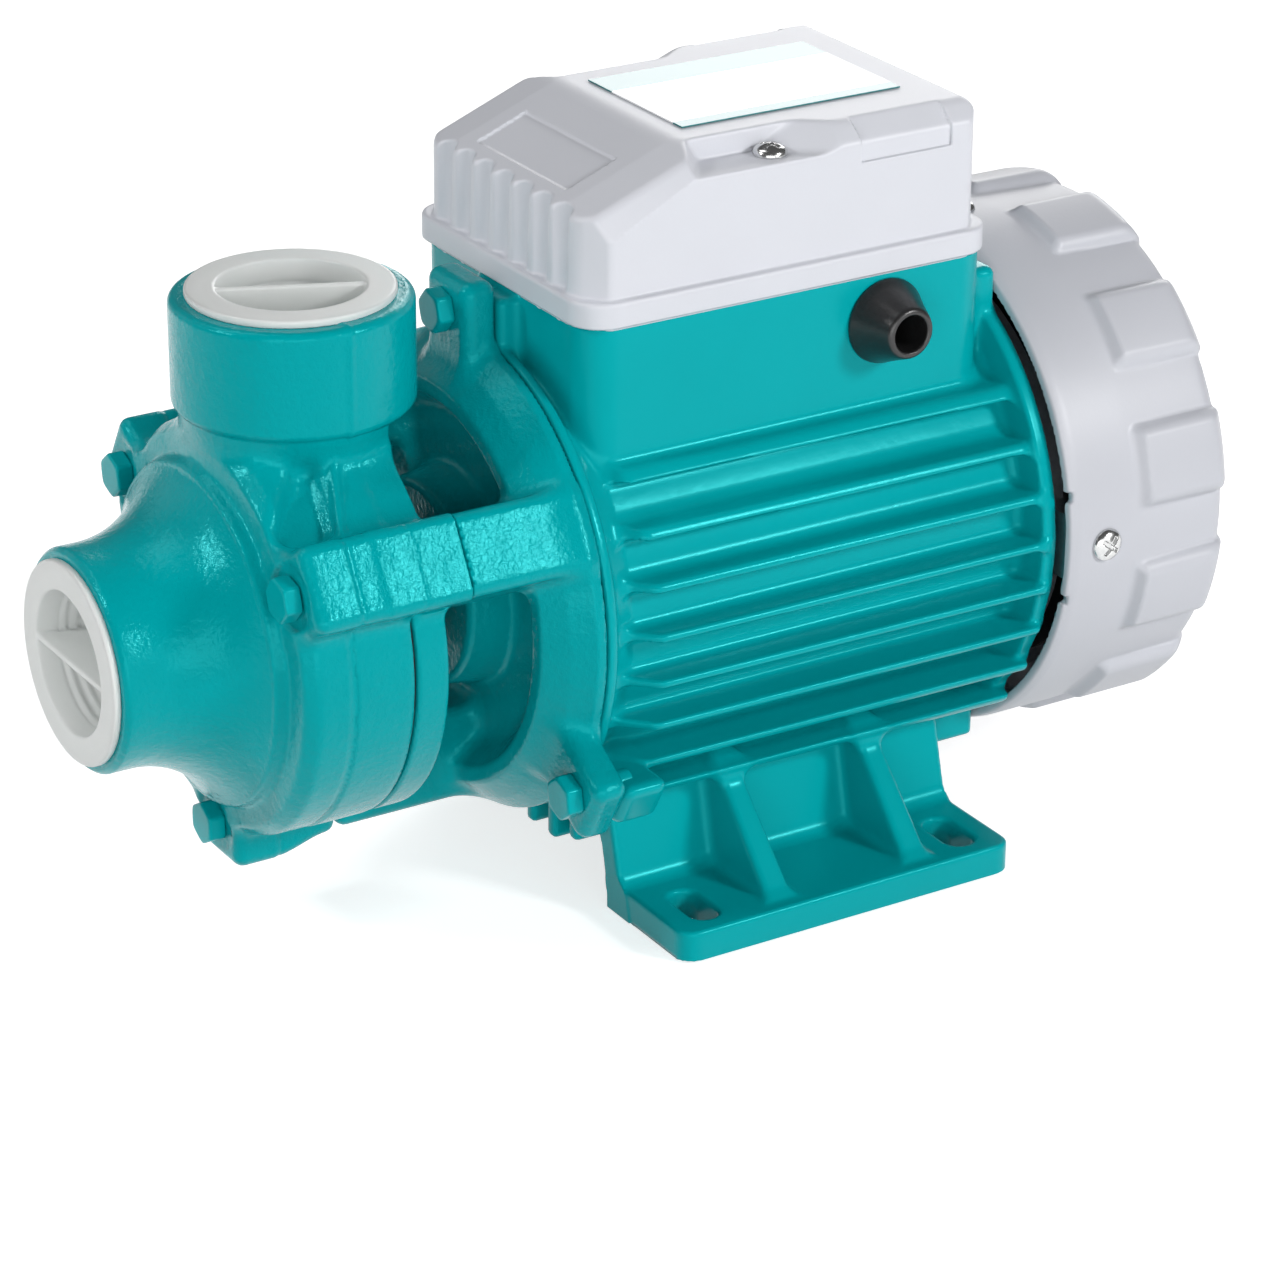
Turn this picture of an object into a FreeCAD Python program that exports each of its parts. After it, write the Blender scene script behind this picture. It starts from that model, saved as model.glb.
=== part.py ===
import FreeCAD, Part
import math
import os
import re
import Sketcher
from FreeCAD import Placement, Rotation, Vector

# Close-coupled water pump: a flat pump casing, a three-legged bracket and a finned, fan-cooled motor.
# The shaft lies along Y, the suction port faces -Y, the discharge port faces +Z and the cable gland +X.
# The origin is the centre of the foot bolt pattern, on the plane that the feet stand on.

doc = FreeCAD.newDocument("water_pump")

DIMENSIONS = [
    ("shaft_height", 65.3, "shaft axis above the base plane"),
    # ports
    ("suction_face", -139.4, "Y of the suction nozzle's face"),
    ("discharge_y", -91.3, "Y of the discharge port's axis"),
    ("discharge_top", 131.3, "Z of the discharge collar's face"),
    ("port_thread_r", 15.15, "minor radius of a G1 internal thread"),
    ("suction_thread_depth", 12.0, "length of the suction port's threaded wall"),
    ("discharge_thread_depth", 9.0, "length of the discharge port's threaded wall"),
    ("port_recess_r", 17.1, "radius of the lead-in that holds a transit plug"),
    ("port_recess_depth", 11.0, "depth of the lead-in"),
    ("collar_r", 23.75, "discharge collar, outside"),
    ("collar_bottom", 109.5, "Z of the collar's underside"),
    ("neck_r", 18.5, "neck below the collar"),
    ("nozzle_r", 22.3, "suction nozzle, outside"),
    ("nozzle_back", -134.0, "Y where the trumpet starts to flare"),
    ("flare_arc_r", 22.7, "radius of the flare's hollow curve"),
    ("flare_end_r", 37.0, "outside radius where the flare ends"),
    ("flare_end", -112.8, "Y where the flare ends"),
    # casing ring
    ("ring_r", 41.5, "casing and bracket ring, outside"),
    ("ring_front", -111.5, "Y of the ring's front"),
    ("ring_chamfer", 3.0, "ring's front edge"),
    ("casing_back", -88.3, "Y of the casing's parting face"),
    ("bracket_front", -87.8, "Y of the bracket's parting face"),
    ("ring_back", -80.8, "Y of the bracket ring's rear face"),
    ("chamber_r", 33.0, "impeller chamber"),
    ("chamber_front", -106.0, "Y of the chamber's front wall"),
    ("well_end", -112.0, "Y where the suction well ends"),
    ("spigot_front", -94.0, "Y of the bracket's spigot face"),
    ("lug_outer", 49.0, "lugs and legs, outside, from the shaft axis"),
    ("lug_half_width", 8.5, "half width of a casing lug"),
    ("lug_front", -110.8, "Y of the lugs' front faces"),
    ("lug_back", -77.9, "Y of the two upper lugs' rear faces"),
    ("casing_bolt_circle", 41.0, "casing bolts, from the shaft axis"),
    ("leg_half_width", 7.5, "half width of a bracket leg"),
    ("leg_inner", 30.0, "legs, inside, from the shaft axis"),
    # bell flange
    ("bell_lip", -61.3, "Y of the bell's front lip"),
    ("bell_lip_r", 42.0, "bell's lip, outside"),
    ("flange_r", 49.2, "motor flange, outside"),
    ("flange_back", -50.4, "Y of the flange joint"),
    ("bell_floor", -55.4, "Y of the bell's floor"),
    ("spigot_r", 41.3, "flange spigot in the motor barrel"),
    ("ear_front", -58.0, "Y of the ears' front faces"),
    ("ear_half_width", 8.0, "half width of an ear"),
    ("ear_outer", 63.0, "ears, outside, from the shaft axis"),
    ("flange_bolt_circle", 56.4, "flange bolts, from the shaft axis"),
    # bolts
    ("bolt_r", 2.5, "M5 shank"),
    ("bolt_head_across_flats", 8.0, "M5 hex head"),
    ("bolt_head_height", 3.6, "M5 hex head"),
    ("bolt_clearance", 0.3, "radial clearance in a through hole"),
    # motor housing
    ("barrel_r", 44.0, "motor barrel, outside"),
    ("barrel_bore_r", 41.4, "motor barrel, inside"),
    ("barrel_back", 55.0, "Y of the barrel's rear end"),
    ("rear_flange_r", 50.0, "rear flange of the barrel, outside"),
    ("fin_pitch", 9.7, "side fins, centre to centre"),
    ("fin_thickness", 2.2, "side fins"),
    ("fin_front_r", 50.8, "fin tips at the front, from the fins' own axis"),
    ("fin_axis_drop", 5.0, "fins' own axis, below the shaft axis"),
    ("fin_rise", 0.8, "middle fin, above the shaft axis"),
    ("fin_back_r", 52.0, "fin tips at the rear"),
    ("fin_root_front", -46.3, "Y where a fin leaves the barrel"),
    ("fin_tip_front", -38.4, "Y of a fin's front tip"),
    ("fin_back", 53.7, "Y of the fins' rear ends"),
    ("bottom_fin_pitch", 8.4, "bottom fins, centre to centre"),
    ("bottom_fin_thickness", 3.4, "bottom fins"),
    ("bottom_fin_low", 10.2, "Z of the bottom fins' lower edges"),
    ("terminal_half_width", 33.0, "terminal box walls"),
    ("terminal_front", -45.3, "Y of the terminal box's front wall"),
    ("terminal_back", 48.7, "Y of the terminal box's rear wall"),
    ("terminal_top", 124.6, "Z of the terminal box's rim"),
    ("terminal_floor", 110.6, "Z of the terminal box's floor"),
    ("terminal_wall", 3.0, "terminal box wall"),
    ("terminal_corner", 8.0, "terminal box corner radius"),
    ("foot_half_length", 40.0, "half length of a foot, along the shaft"),
    ("foot_outer", 61.4, "X of a foot's outer edge"),
    ("foot_inner", 32.3, "X of a foot's inner edge"),
    ("foot_thickness", 6.5, "foot plate"),
    ("foot_wall", 6.5, "foot wall at the plate"),
    ("foot_wall_lean", 8.3, "how far the wall leans in at its top"),
    ("foot_wall_top", 34.0, "Z where the wall meets the barrel"),
    ("gusset_front", -14.8, "Y of the front gusset's centre"),
    ("gusset_back", 18.3, "Y of the rear gusset's centre"),
    ("gusset_width", 6.0, "gusset thickness"),
    ("slot_x", 50.4, "X of a slot's centre"),
    ("slot_y", 31.0, "Y of a slot's centre"),
    ("slot_half_width", 3.25, "foot slots"),
    ("slot_length", 13.0, "foot slots, end to end, along X"),
    # stator and rotor
    ("core_front", -22.0, "Y of the cores' front faces"),
    ("core_back", 33.0, "Y of the cores' rear faces"),
    ("stator_bore_r", 24.6, "stator bore"),
    ("rotor_r", 24.2, "rotor core, outside"),
    ("winding_overhang", 13.0, "end turns beyond the core"),
    ("core_shaft_r", 8.0, "shaft under the rotor core"),
    # bearings: 6202 at the front, 6201 at the rear
    ("front_bearing_y", -62.0, "Y of the front bearing's front face"),
    ("front_bearing_width", 11.0, "6202"),
    ("front_bearing_outer_r", 17.5, "6202"),
    ("front_bearing_bore_r", 7.5, "6202"),
    ("front_ball_pitch_r", 12.5, "6202"),
    ("rear_bearing_y", 56.0, "Y of the rear bearing's front face"),
    ("rear_bearing_width", 10.0, "6201"),
    ("rear_bearing_outer_r", 16.0, "6201"),
    ("rear_bearing_bore_r", 6.0, "6201"),
    ("rear_ball_pitch_r", 11.0, "6201"),
    ("ball_r", 2.75, "bearing balls"),
    ("race_r", 2.95, "race groove"),
    ("race_land", 2.1, "race shoulder, either side of the ball circle"),
    # wet end
    ("impeller_front", -104.5, "Y of the impeller's front face"),
    ("impeller_width", 9.0, "impeller rim"),
    ("impeller_r", 30.0, "impeller, outside"),
    ("impeller_shaft_r", 5.5, "shaft in the impeller"),
    ("seal_shaft_r", 6.0, "shaft under the seal"),
    ("seal_pocket_r", 14.0, "seal pocket in the bracket"),
    # fan and cowl
    ("cowl_front", 55.1, "Y of the cowl's front rim"),
    ("cowl_back", 97.0, "Y of the cowl's grille"),
    ("cowl_r", 55.4, "cowl skin, outside"),
    ("cowl_wall", 2.2, "cowl skin"),
    ("cowl_rib_r", 57.6, "raised panels of the cowl, outside"),
    ("cowl_rib_front", 71.5, "Y of the panels' front ends"),
    ("cowl_screw_y", 64.2, "Y of the cowl screws"),
    ("fan_r", 44.0, "cooling fan"),
    ("fan_front", 70.0, "Y of the fan's back plate"),
    ("fan_depth", 15.0, "fan blades"),
    ("fan_shaft_r", 5.0, "shaft in the fan"),
    ("shaft_front", -107.5, "Y of the shaft's pump end"),
    ("shaft_back", 88.0, "Y of the shaft's fan end"),
    # lid
    ("lid_rim_half_width", 34.7, "lid rim"),
    ("lid_rim_front", -46.7, "Y of the lid rim's front"),
    ("lid_rim_back", 48.8, "Y of the lid rim's rear"),
    ("lid_rim_top", 130.2, "Z of the lid rim's top"),
    ("lid_front_top", 147.0, "Z of the lid's front wall"),
    ("lid_shoulder", 151.5, "Z of the screw pockets' floors"),
    ("lid_top", 156.0, "Z of the lid's top"),
    ("lid_top_half_width", 28.8, "lid's flat top"),
    ("lid_screw_y", -1.3, "Y of the lid screws"),
    ("lid_pocket_inner", 23.6, "X of a screw pocket's inner wall"),
    ("lid_pocket_front", -19.0, "Y of a screw pocket's front wall"),
    ("lid_pocket_back", 9.0, "Y of a screw pocket's rear wall"),
    ("lid_wall", 2.4, "lid wall"),
    # gland
    ("gland_y", 23.2, "Y of the cable gland"),
    ("gland_z", 114.4, "Z of the cable gland"),
    ("gland_base_r", 9.2, "gland cone at the wall"),
    ("gland_tip_r", 5.0, "gland cone at its tip"),
    ("gland_length", 9.6, "gland cone, out of the wall"),
    ("gland_bore_r", 3.8, "hole for the mains lead"),
    # transit plugs
    ("plug_flange_r", 20.3, "plug flange"),
    ("plug_flange_thickness", 1.6, "plug flange"),
    ("plug_skirt_r", 16.9, "plug skirt in the lead-in"),
    ("plug_tip_r", 15.6, "plug skirt at its inner end"),
    ("plug_cup_r", 14.3, "hollow of the plug"),
    ("plug_depth", 10.6, "plug below its flange"),
    ("plug_floor", 1.4, "plug floor"),
]

sheet = doc.addObject("Spreadsheet::Sheet", "dims")
for row, (alias, value, meaning) in enumerate(DIMENSIONS, start=1):
    sheet.set(f"A{row}", meaning)
    sheet.set(f"B{row}", str(value))
    sheet.setAlias(f"B{row}", alias)
doc.recompute()
ALIASES = {alias for alias, _, _ in DIMENSIONS}
NODES = {}


def linked(text):
    """An expression with each bare alias turned into a reference to the sheet."""
    def reference(match):
        word = match.group(0)
        return f"dims.{word}" if word in ALIASES else word
    return re.sub(r"[a-z_][a-z_0-9]*", reference, str(text))


def size(text):
    """The present value of an expression, in millimetres."""
    return float(sheet.evalExpression(linked(text)))


def bind(item, **sizes):
    """Bind properties to expressions; a double underscore in a name stands for a dot."""
    for name, text in sizes.items():
        item.setExpression(name.replace("__", "."), linked(text))
    return item


def move(item, x="0", y="0", z="0"):
    for axis, text in zip("xyz", (x, y, z)):
        item.setExpression(f"Placement.Base.{axis}", linked(text))
    return item


def block(name, x0, x1, y0, y1, z0, z1):
    item = doc.addObject("Part::Box", name)
    bind(item, Length=f"({x1}) - ({x0})", Width=f"({y1}) - ({y0})", Height=f"({z1}) - ({z0})")
    return move(item, x0, y0, z0)


def upright(name, r, z0, z1, x="0", y="0"):
    """A cylinder along Z."""
    item = doc.addObject("Part::Cylinder", name)
    bind(item, Radius=r, Height=f"({z1}) - ({z0})")
    return move(item, x, y, z0)


def along_shaft(name, r, y0, y1, x="0", z="shaft_height"):
    """A cylinder along Y."""
    item = doc.addObject("Part::Cylinder", name)
    item.Placement = Placement(Vector(), Rotation(Vector(1, 0, 0), -90))
    bind(item, Radius=r, Height=f"({y1}) - ({y0})")
    return move(item, x, y0, z)


def across(name, r, x0, x1, y, z):
    """A cylinder along X."""
    item = doc.addObject("Part::Cylinder", name)
    item.Placement = Placement(Vector(), Rotation(Vector(0, 1, 0), 90))
    bind(item, Radius=r, Height=f"({x1}) - ({x0})")
    return move(item, x0, y, z)


def cone_across(name, r0, r1, x0, x1, y, z):
    item = doc.addObject("Part::Cone", name)
    item.Placement = Placement(Vector(), Rotation(Vector(0, 1, 0), 90))
    bind(item, Radius1=r0, Radius2=r1, Height=f"({x1}) - ({x0})")
    return move(item, x0, y, z)


def join(name, *items):
    item = doc.addObject("Part::MultiFuse", name)
    item.Shapes = list(items)
    return item


def take(name, base, *tools):
    """base with the tools cut away."""
    item = doc.addObject("Part::Cut", name)
    item.Base = base
    item.Tool = tools[0] if len(tools) == 1 else join(name + "_tools", *tools)
    return item


def overlap(name, first, second):
    item = doc.addObject("Part::MultiCommon", name)
    item.Shapes = [first, second]
    return item


def group(name, *items):
    item = doc.addObject("Part::Compound", name)
    item.Links = list(items)
    return item


def turned(name, item, angle):
    """item turned about the shaft axis, from +X towards +Z."""
    copy = doc.addObject("Part::Compound", name)
    copy.Links = [item]
    height = size("shaft_height")
    turn = Rotation(Vector(0, 1, 0), -angle)
    centre = Vector(0, 0, height)
    copy.Placement = Placement(centre - turn.multVec(centre), turn)
    copy.setExpression("Placement.Base.x", linked(f"-shaft_height * sin({-angle} deg)"))
    copy.setExpression("Placement.Base.z", linked(f"shaft_height * (1 - cos({angle} deg))"))
    return copy


def mirrored(name, item):
    """item mirrored in the YZ plane."""
    copy = doc.addObject("Part::Mirroring", name)
    copy.Source = item
    copy.Base = Vector(0, 0, 0)
    copy.Normal = Vector(1, 0, 0)
    return copy


def origin_plane(body, role):
    return next(item for item in body.Origin.OriginFeatures if item.Role == role)


def outline(body, name, role, points):
    """A closed sketch. A point is (across, up), or (across, up, radius, side) where the stretch
    that starts at it is an arc of that radius with its centre on that side, +1 for the left."""
    sketch = body.newObject("Sketcher::SketchObject", name)
    sketch.AttachmentSupport = [(origin_plane(body, role), "")]
    sketch.MapMode = "FlatFace"
    places = [Vector(size(point[0]), size(point[1]), 0) for point in points]
    starts = []
    for index, point in enumerate(points):
        here = places[index]
        there = places[(index + 1) % len(points)]
        if len(point) == 2:
            sketch.addGeometry(Part.LineSegment(here, there))
            starts.append(1)
            continue
        radius = size(point[2])
        chord = there - here
        left = Vector(-chord.y, chord.x, 0).normalize()
        reach = math.sqrt(radius ** 2 - (chord.Length / 2) ** 2)
        centre = (here + there) * 0.5 + left * (point[3] * reach)
        middle = centre - left * (point[3] * radius)
        arc = Part.Arc(here, middle, there)
        sketch.addGeometry(arc)
        first = sketch.getPoint(index, 1)
        starts.append(1 if first.distanceToPoint(here) < 1e-6 else 2)
    count = len(points)
    for index in range(count):
        following = (index + 1) % count
        end = 3 - starts[index]
        sketch.addConstraint(Sketcher.Constraint("Coincident", index, end, following, starts[following]))
    for index, point in enumerate(points):
        for kind, text, value in (("DistanceX", point[0], places[index].x),
                                  ("DistanceY", point[1], places[index].y)):
            number = sketch.addConstraint(Sketcher.Constraint(kind, index, starts[index], value))
            sketch.setExpression(f"Constraints[{number}]", linked(text))
        if len(point) > 2:
            number = sketch.addConstraint(Sketcher.Constraint("Radius", index, size(point[2])))
            sketch.setExpression(f"Constraints[{number}]", linked(point[2]))
    return sketch


def lathe(name, points, on_shaft=True):
    """A turned piece: an outline of (Y, radius) points revolved about the shaft axis."""
    body = doc.addObject("PartDesign::Body", name)
    sketch = outline(body, name + "_profile", "YZ_Plane", points)
    turn = body.newObject("PartDesign::Revolution", name + "_turn")
    turn.Profile = sketch
    turn.ReferenceAxis = (sketch, ["H_Axis"])
    turn.Angle = 360
    body.Tip = turn
    if on_shaft:
        move(body, z="shaft_height")
    return body


def tube(name, inner, outer, y0, y1):
    return lathe(name, [(y0, inner), (y0, outer), (y1, outer), (y1, inner)])


def pad(name, role, points, length, offset="0"):
    """An outline padded towards the plane's normal, after moving along it by offset."""
    body = doc.addObject("PartDesign::Body", name)
    sketch = outline(body, name + "_outline", role, points)
    feature = body.newObject("PartDesign::Pad", name + "_pad")
    feature.Profile = sketch
    feature.Length = size(length)
    feature.setExpression("Length", linked(length))
    body.Tip = feature
    axis = {"XY_Plane": "z", "XZ_Plane": "y", "YZ_Plane": "x"}[role]
    body.setExpression(f"Placement.Base.{axis}", linked(offset))
    return body


def rounded_block(name, x0, x1, y0, y1, z0, z1, corner):
    """A block with rounded upright edges."""
    base = block(name + "_block", x0, x1, y0, y1, z0, z1)
    doc.recompute()
    edges = []
    for index, edge in enumerate(base.Shape.Edges, start=1):
        if abs(edge.tangentAt(edge.FirstParameter).z) > 0.99:
            edges.append((index, size(corner), size(corner)))
    item = doc.addObject("Part::Fillet", name)
    item.Base = base
    item.Edges = edges
    return item


def node(name, item):
    """Names a finished sub-part."""
    item.Label = name
    NODES[name] = item
    return item


def hex_bolt(name, y_face, grip, r_circle, angle):
    """A hex-headed bolt along +Y, its head's face at y_face."""
    head = doc.addObject("Part::Prism", name + "_head")
    head.Polygon = 6
    head.Placement = Placement(Vector(), Rotation(Vector(1, 0, 0), -90))
    bind(head, Circumradius="bolt_head_across_flats / sqrt(3)", Height="bolt_head_height")
    x = f"({r_circle}) * cos({angle} deg)"
    z = f"shaft_height + ({r_circle}) * sin({angle} deg)"
    move(head, x, y_face, z)
    shank_start = f"({y_face}) + bolt_head_height"
    shank = along_shaft(name + "_shank", "bolt_r", shank_start, f"{shank_start} + {grip}", x, z)
    return join(name, head, shank)


def bolt_holes(name, r, y0, y1, r_circle, angles):
    holes = []
    for index, angle in enumerate(angles):
        x = f"({r_circle}) * cos({angle} deg)"
        z = f"shaft_height + ({r_circle}) * sin({angle} deg)"
        holes.append(along_shaft(f"{name}_{index}", r, y0, y1, x, z))
    return holes


UPPER_ANGLES = (30, 150)
LOWER_ANGLE = 270
LEG_ANGLES = (30, 150, 270)
EAR_ANGLES = (90, -30, 210)


def radial_block(name, angle, half_width, inner, outer, y0, y1):
    """A block that stands out from the shaft axis at an angle from +X towards +Z."""
    base = block(f"{name}_{angle % 360}_flat", inner, outer, y0, y1,
                 f"shaft_height - ({half_width})", f"shaft_height + ({half_width})")
    return turned(f"{name}_{angle % 360}", base, angle)


# ---------------------------------------------------------------- pump casing

def pump_casing():
    shell = lathe("casing_shell", [
        ("suction_face", "0"),
        ("suction_face", "nozzle_r - 1"),
        ("suction_face + 1", "nozzle_r"),
        ("nozzle_back", "nozzle_r", "flare_arc_r", 1),
        ("flare_end", "flare_end_r"),
        ("ring_front", "ring_r - ring_chamfer"),
        ("ring_front + ring_chamfer", "ring_r"),
        ("casing_back", "ring_r"),
        ("casing_back", "0"),
    ])
    collar = upright("collar", "collar_r", "collar_bottom", "discharge_top", y="discharge_y")
    neck_full = upright("neck_full", "neck_r", "shaft_height + 20", "collar_bottom", y="discharge_y")
    neck_room = block("neck_room", "-30", "30", "-120", "ring_back", "shaft_height", "collar_bottom")
    neck = overlap("neck", neck_full, neck_room)
    cap_ring = tube("cap_ring", "chamber_r", "ring_r", "casing_back - 1", "ring_back")
    cap_room = block("cap_room", "-36", "36", "casing_back - 1", "ring_back",
                     "shaft_height + 25", "collar_bottom")
    cap = overlap("cap", cap_ring, cap_room)
    lugs = []
    for angle in LEG_ANGLES:
        lugs.append(radial_block("lug", angle, "lug_half_width", "22", "lug_outer", "lug_front", "casing_back"))
    for angle in UPPER_ANGLES:
        lugs.append(radial_block("lug_tail", angle, "lug_half_width", "ring_r", "lug_outer",
                                 "casing_back - 1", "lug_back"))
    body = join("casing_body", shell, collar, neck, cap, *lugs)
    suction_end = "suction_face + port_recess_depth + suction_thread_depth"
    discharge_end = "discharge_top - port_recess_depth - discharge_thread_depth"
    cuts = [
        along_shaft("suction_recess", "port_recess_r", "suction_face - 1", "suction_face + port_recess_depth"),
        along_shaft("suction_thread", "port_thread_r", "suction_face", suction_end),
        along_shaft("suction_well", "12.5", "suction_face", "well_end"),
        block("suction_rise", "-14", "-3", "well_end - 4.5", "well_end", "shaft_height", "shaft_height + 24"),
        block("suction_inlet", "-14", "-3", "well_end - 1", "chamber_front + 1",
              "shaft_height + 15", "shaft_height + 24"),
        upright("discharge_recess", "port_recess_r", "discharge_top - port_recess_depth",
                "discharge_top + 1", y="discharge_y"),
        upright("discharge_thread", "port_thread_r", discharge_end, "discharge_top", y="discharge_y"),
        upright("discharge_rise", "6.5", "shaft_height + 24", f"{discharge_end} + 1", "6", "-98.5"),
        along_shaft("chamber", "chamber_r", "chamber_front", "ring_back + 1"),
        along_shaft("shaft_relief", "6.5", "-109", "chamber_front + 1"),
    ]
    cuts += bolt_holes("casing_hole", "bolt_r + bolt_clearance", "lug_front - 1", "lug_back + 1",
                       "casing_bolt_circle", LEG_ANGLES)
    cuts += bolt_holes("spot_face", "5.6", "lug_front - 6", "lug_front", "casing_bolt_circle", LEG_ANGLES)
    return node("pump_casing", take("casing", body, *cuts))


def casing_gasket():
    ring = tube("gasket_ring", "chamber_r + 0.3", "ring_r - 1", "casing_back", "bracket_front")
    gap = block("gasket_gap", "-37", "37", "casing_back - 1", "bracket_front + 1",
                "shaft_height + 24.7", "collar_bottom")
    holes = bolt_holes("gasket_hole", "bolt_r + bolt_clearance", "casing_back - 1", "bracket_front + 1",
                       "casing_bolt_circle", LEG_ANGLES)
    return node("casing_gasket", take("gasket", ring, gap, *holes))


def pump_bracket():
    ring = lathe("bracket_ring", [
        ("spigot_front", "seal_pocket_r"),
        ("spigot_front", "chamber_r - 0.2"),
        ("bracket_front", "chamber_r - 0.2"),
        ("bracket_front", "ring_r"),
        ("ring_back", "ring_r"),
        ("ring_back", "19"),
        ("-72.5", "18"),
        ("-72.5", "8.2"),
        ("-75.5", "8.2"),
        ("-75.5", "seal_pocket_r"),
    ])
    bell = lathe("bell", [
        ("bell_lip", "bell_lip_r - 3.4"),
        ("bell_lip", "bell_lip_r"),
        ("bell_lip + 5", "46.5"),
        ("bell_lip + 9", "flange_r"),
        ("flange_back", "flange_r"),
        ("flange_back", "spigot_r"),
        ("flange_back + 3", "spigot_r"),
        ("flange_back + 3", "spigot_r - 3"),
        ("flange_back", "spigot_r - 3"),
        ("flange_back", "front_bearing_outer_r"),
        ("front_bearing_y", "front_bearing_outer_r"),
        ("front_bearing_y", "9"),
        ("front_bearing_y - 3", "9"),
        ("front_bearing_y - 3", "21"),
        ("bell_floor", "22.5"),
        ("bell_floor", "35"),
    ])
    legs = [radial_block("leg", angle, "leg_half_width", "leg_inner", "lug_outer", "bracket_front", "-52")
            for angle in LEG_ANGLES]
    ears = [radial_block("ear", angle, "ear_half_width", "38", "ear_outer", "ear_front", "flange_back")
            for angle in EAR_ANGLES]
    ear_cavity = along_shaft("ear_cavity", "37", "bell_floor - 8", "bell_floor")
    solid_ears = take("trimmed_ears", join("all_ears", *ears), ear_cavity)
    cap_cut = block("cap_cut", "-36.2", "36.2", "bracket_front - 1", "ring_back + 0.1",
                    "shaft_height + 24.8", "collar_bottom")
    cap_core = along_shaft("cap_core", "chamber_r - 0.2", "bracket_front - 2", "ring_back + 1")
    cap_clear = take("cap_clear", cap_cut, cap_core)
    tail_cuts = [radial_block("tail_cut", angle, "lug_half_width + 0.2", "ring_r - 0.1", "lug_outer + 1",
                              "bracket_front - 1", "lug_back + 0.1") for angle in UPPER_ANGLES]
    holes = bolt_holes("bracket_thread", "bolt_r", "bracket_front - 1", "-72", "casing_bolt_circle", LEG_ANGLES)
    holes += bolt_holes("ear_hole", "bolt_r + bolt_clearance", "ear_front - 1", "flange_back + 1",
                        "flange_bolt_circle", EAR_ANGLES)
    body = join("bracket_body", ring, bell, solid_ears, *legs)
    return node("pump_bracket", take("bracket", body, cap_clear, *tail_cuts, *holes))


def casing_bolts():
    face = "lug_front - bolt_head_height"
    bolts = [hex_bolt(f"casing_bolt_{index}", face, "36", "casing_bolt_circle", angle)
             for index, angle in enumerate(LEG_ANGLES)]
    return node("casing_bolts", group("casing_bolt_set", *bolts))


def flange_bolts():
    face = "ear_front - bolt_head_height"
    bolts = [hex_bolt(f"flange_bolt_{index}", face, "14.5", "flange_bolt_circle", angle)
             for index, angle in enumerate(EAR_ANGLES)]
    return node("flange_bolts", group("flange_bolt_set", *bolts))


def transit_plug(name):
    """A plastic cup with a thin flange and a flat web to turn it by, open towards -Y."""
    cup = lathe(name + "_cup", [
        ("-plug_flange_thickness", "plug_cup_r"),
        ("-plug_flange_thickness", "plug_flange_r"),
        ("0", "plug_flange_r"),
        ("0", "plug_skirt_r"),
        ("plug_depth - 3", "plug_skirt_r"),
        ("plug_depth", "plug_tip_r"),
        ("plug_depth", "0"),
        ("plug_depth - plug_floor", "0"),
        ("plug_depth - plug_floor", "plug_cup_r - 0.9"),
    ], on_shaft=False)
    web = block(name + "_web", "-plug_cup_r + 0.4", "plug_cup_r - 0.4", "0.3 - plug_flange_thickness",
                "plug_depth - plug_floor / 2", "-0.7", "0.7")
    return join(name + "_piece", cup, web)


def suction_plug():
    piece = group("suction_plug_set", transit_plug("suction_plug"))
    move(piece, "0", "suction_face", "shaft_height")
    return node("suction_plug", piece)


def discharge_plug():
    piece = group("discharge_plug_set", transit_plug("discharge_plug"))
    web_turn = Rotation(Vector(0, 0, 1), 66.5)
    piece.Placement = Placement(Vector(), web_turn.multiply(Rotation(Vector(1, 0, 0), -90)))
    move(piece, "0", "discharge_y", "discharge_top")
    return node("discharge_plug", piece)


# ---------------------------------------------------------------- wet end

def impeller():
    disc = lathe("impeller_disc", [
        ("impeller_front + 2.5", "impeller_shaft_r"),
        ("impeller_front + 2.5", "9"),
        ("impeller_front", "11"),
        ("impeller_front", "impeller_r"),
        ("impeller_front + impeller_width", "impeller_r"),
        ("impeller_front + impeller_width", "11"),
        ("impeller_front + impeller_width + 1", "9.5"),
        ("impeller_front + impeller_width + 1", "impeller_shaft_r"),
    ])
    vane_count = 24
    gaps = []
    for index in range(vane_count):
        angle = 360 * index // vane_count
        for side, y0, y1 in (("front", "impeller_front - 1", "impeller_front + impeller_width / 2 - 0.8"),
                             ("back", "impeller_front + impeller_width / 2 + 0.8",
                              "impeller_front + impeller_width + 1")):
            gaps.append(radial_block(f"vane_gap_{side}", angle, "2.4", "impeller_r - 6", "impeller_r + 2", y0, y1))
    keyway = block("impeller_keyway", "-1.5", "1.5", "impeller_front", "impeller_front + impeller_width + 2",
                   "shaft_height + 3", "shaft_height + 7")
    return node("impeller", take("impeller_cut", disc, keyway, *gaps))


def impeller_key():
    return node("impeller_key", block("key", "-1.5", "1.5", "impeller_front + 2.8",
                                      "impeller_front + impeller_width - 1",
                                      "shaft_height + 3", "shaft_height + 6.9"))


def impeller_circlip():
    ring = tube("circlip_ring", "4.7", "7.6", "impeller_front + 1.4", "impeller_front + 2.4")
    gap = block("circlip_gap", "-1.6", "1.6", "impeller_front + 1", "impeller_front + 3",
                "shaft_height - 9", "shaft_height - 3")
    return node("impeller_circlip", take("circlip", ring, gap))


def shaft_seal():
    seat = tube("seat_ring", "seal_shaft_r + 1.2", "seal_pocket_r", "-80.5", "-75.5")
    head = lathe("head_ring", [
        ("-92.5", "seal_shaft_r"),
        ("-92.5", "12.5"),
        ("-90.5", "12.5"),
        ("-90.5", "10.5"),
        ("-84", "10.5"),
        ("-84", "12"),
        ("-80.7", "10"),
        ("-80.7", "seal_shaft_r"),
    ])
    node("seal_seat", seat)
    node("seal_head", head)


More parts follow.
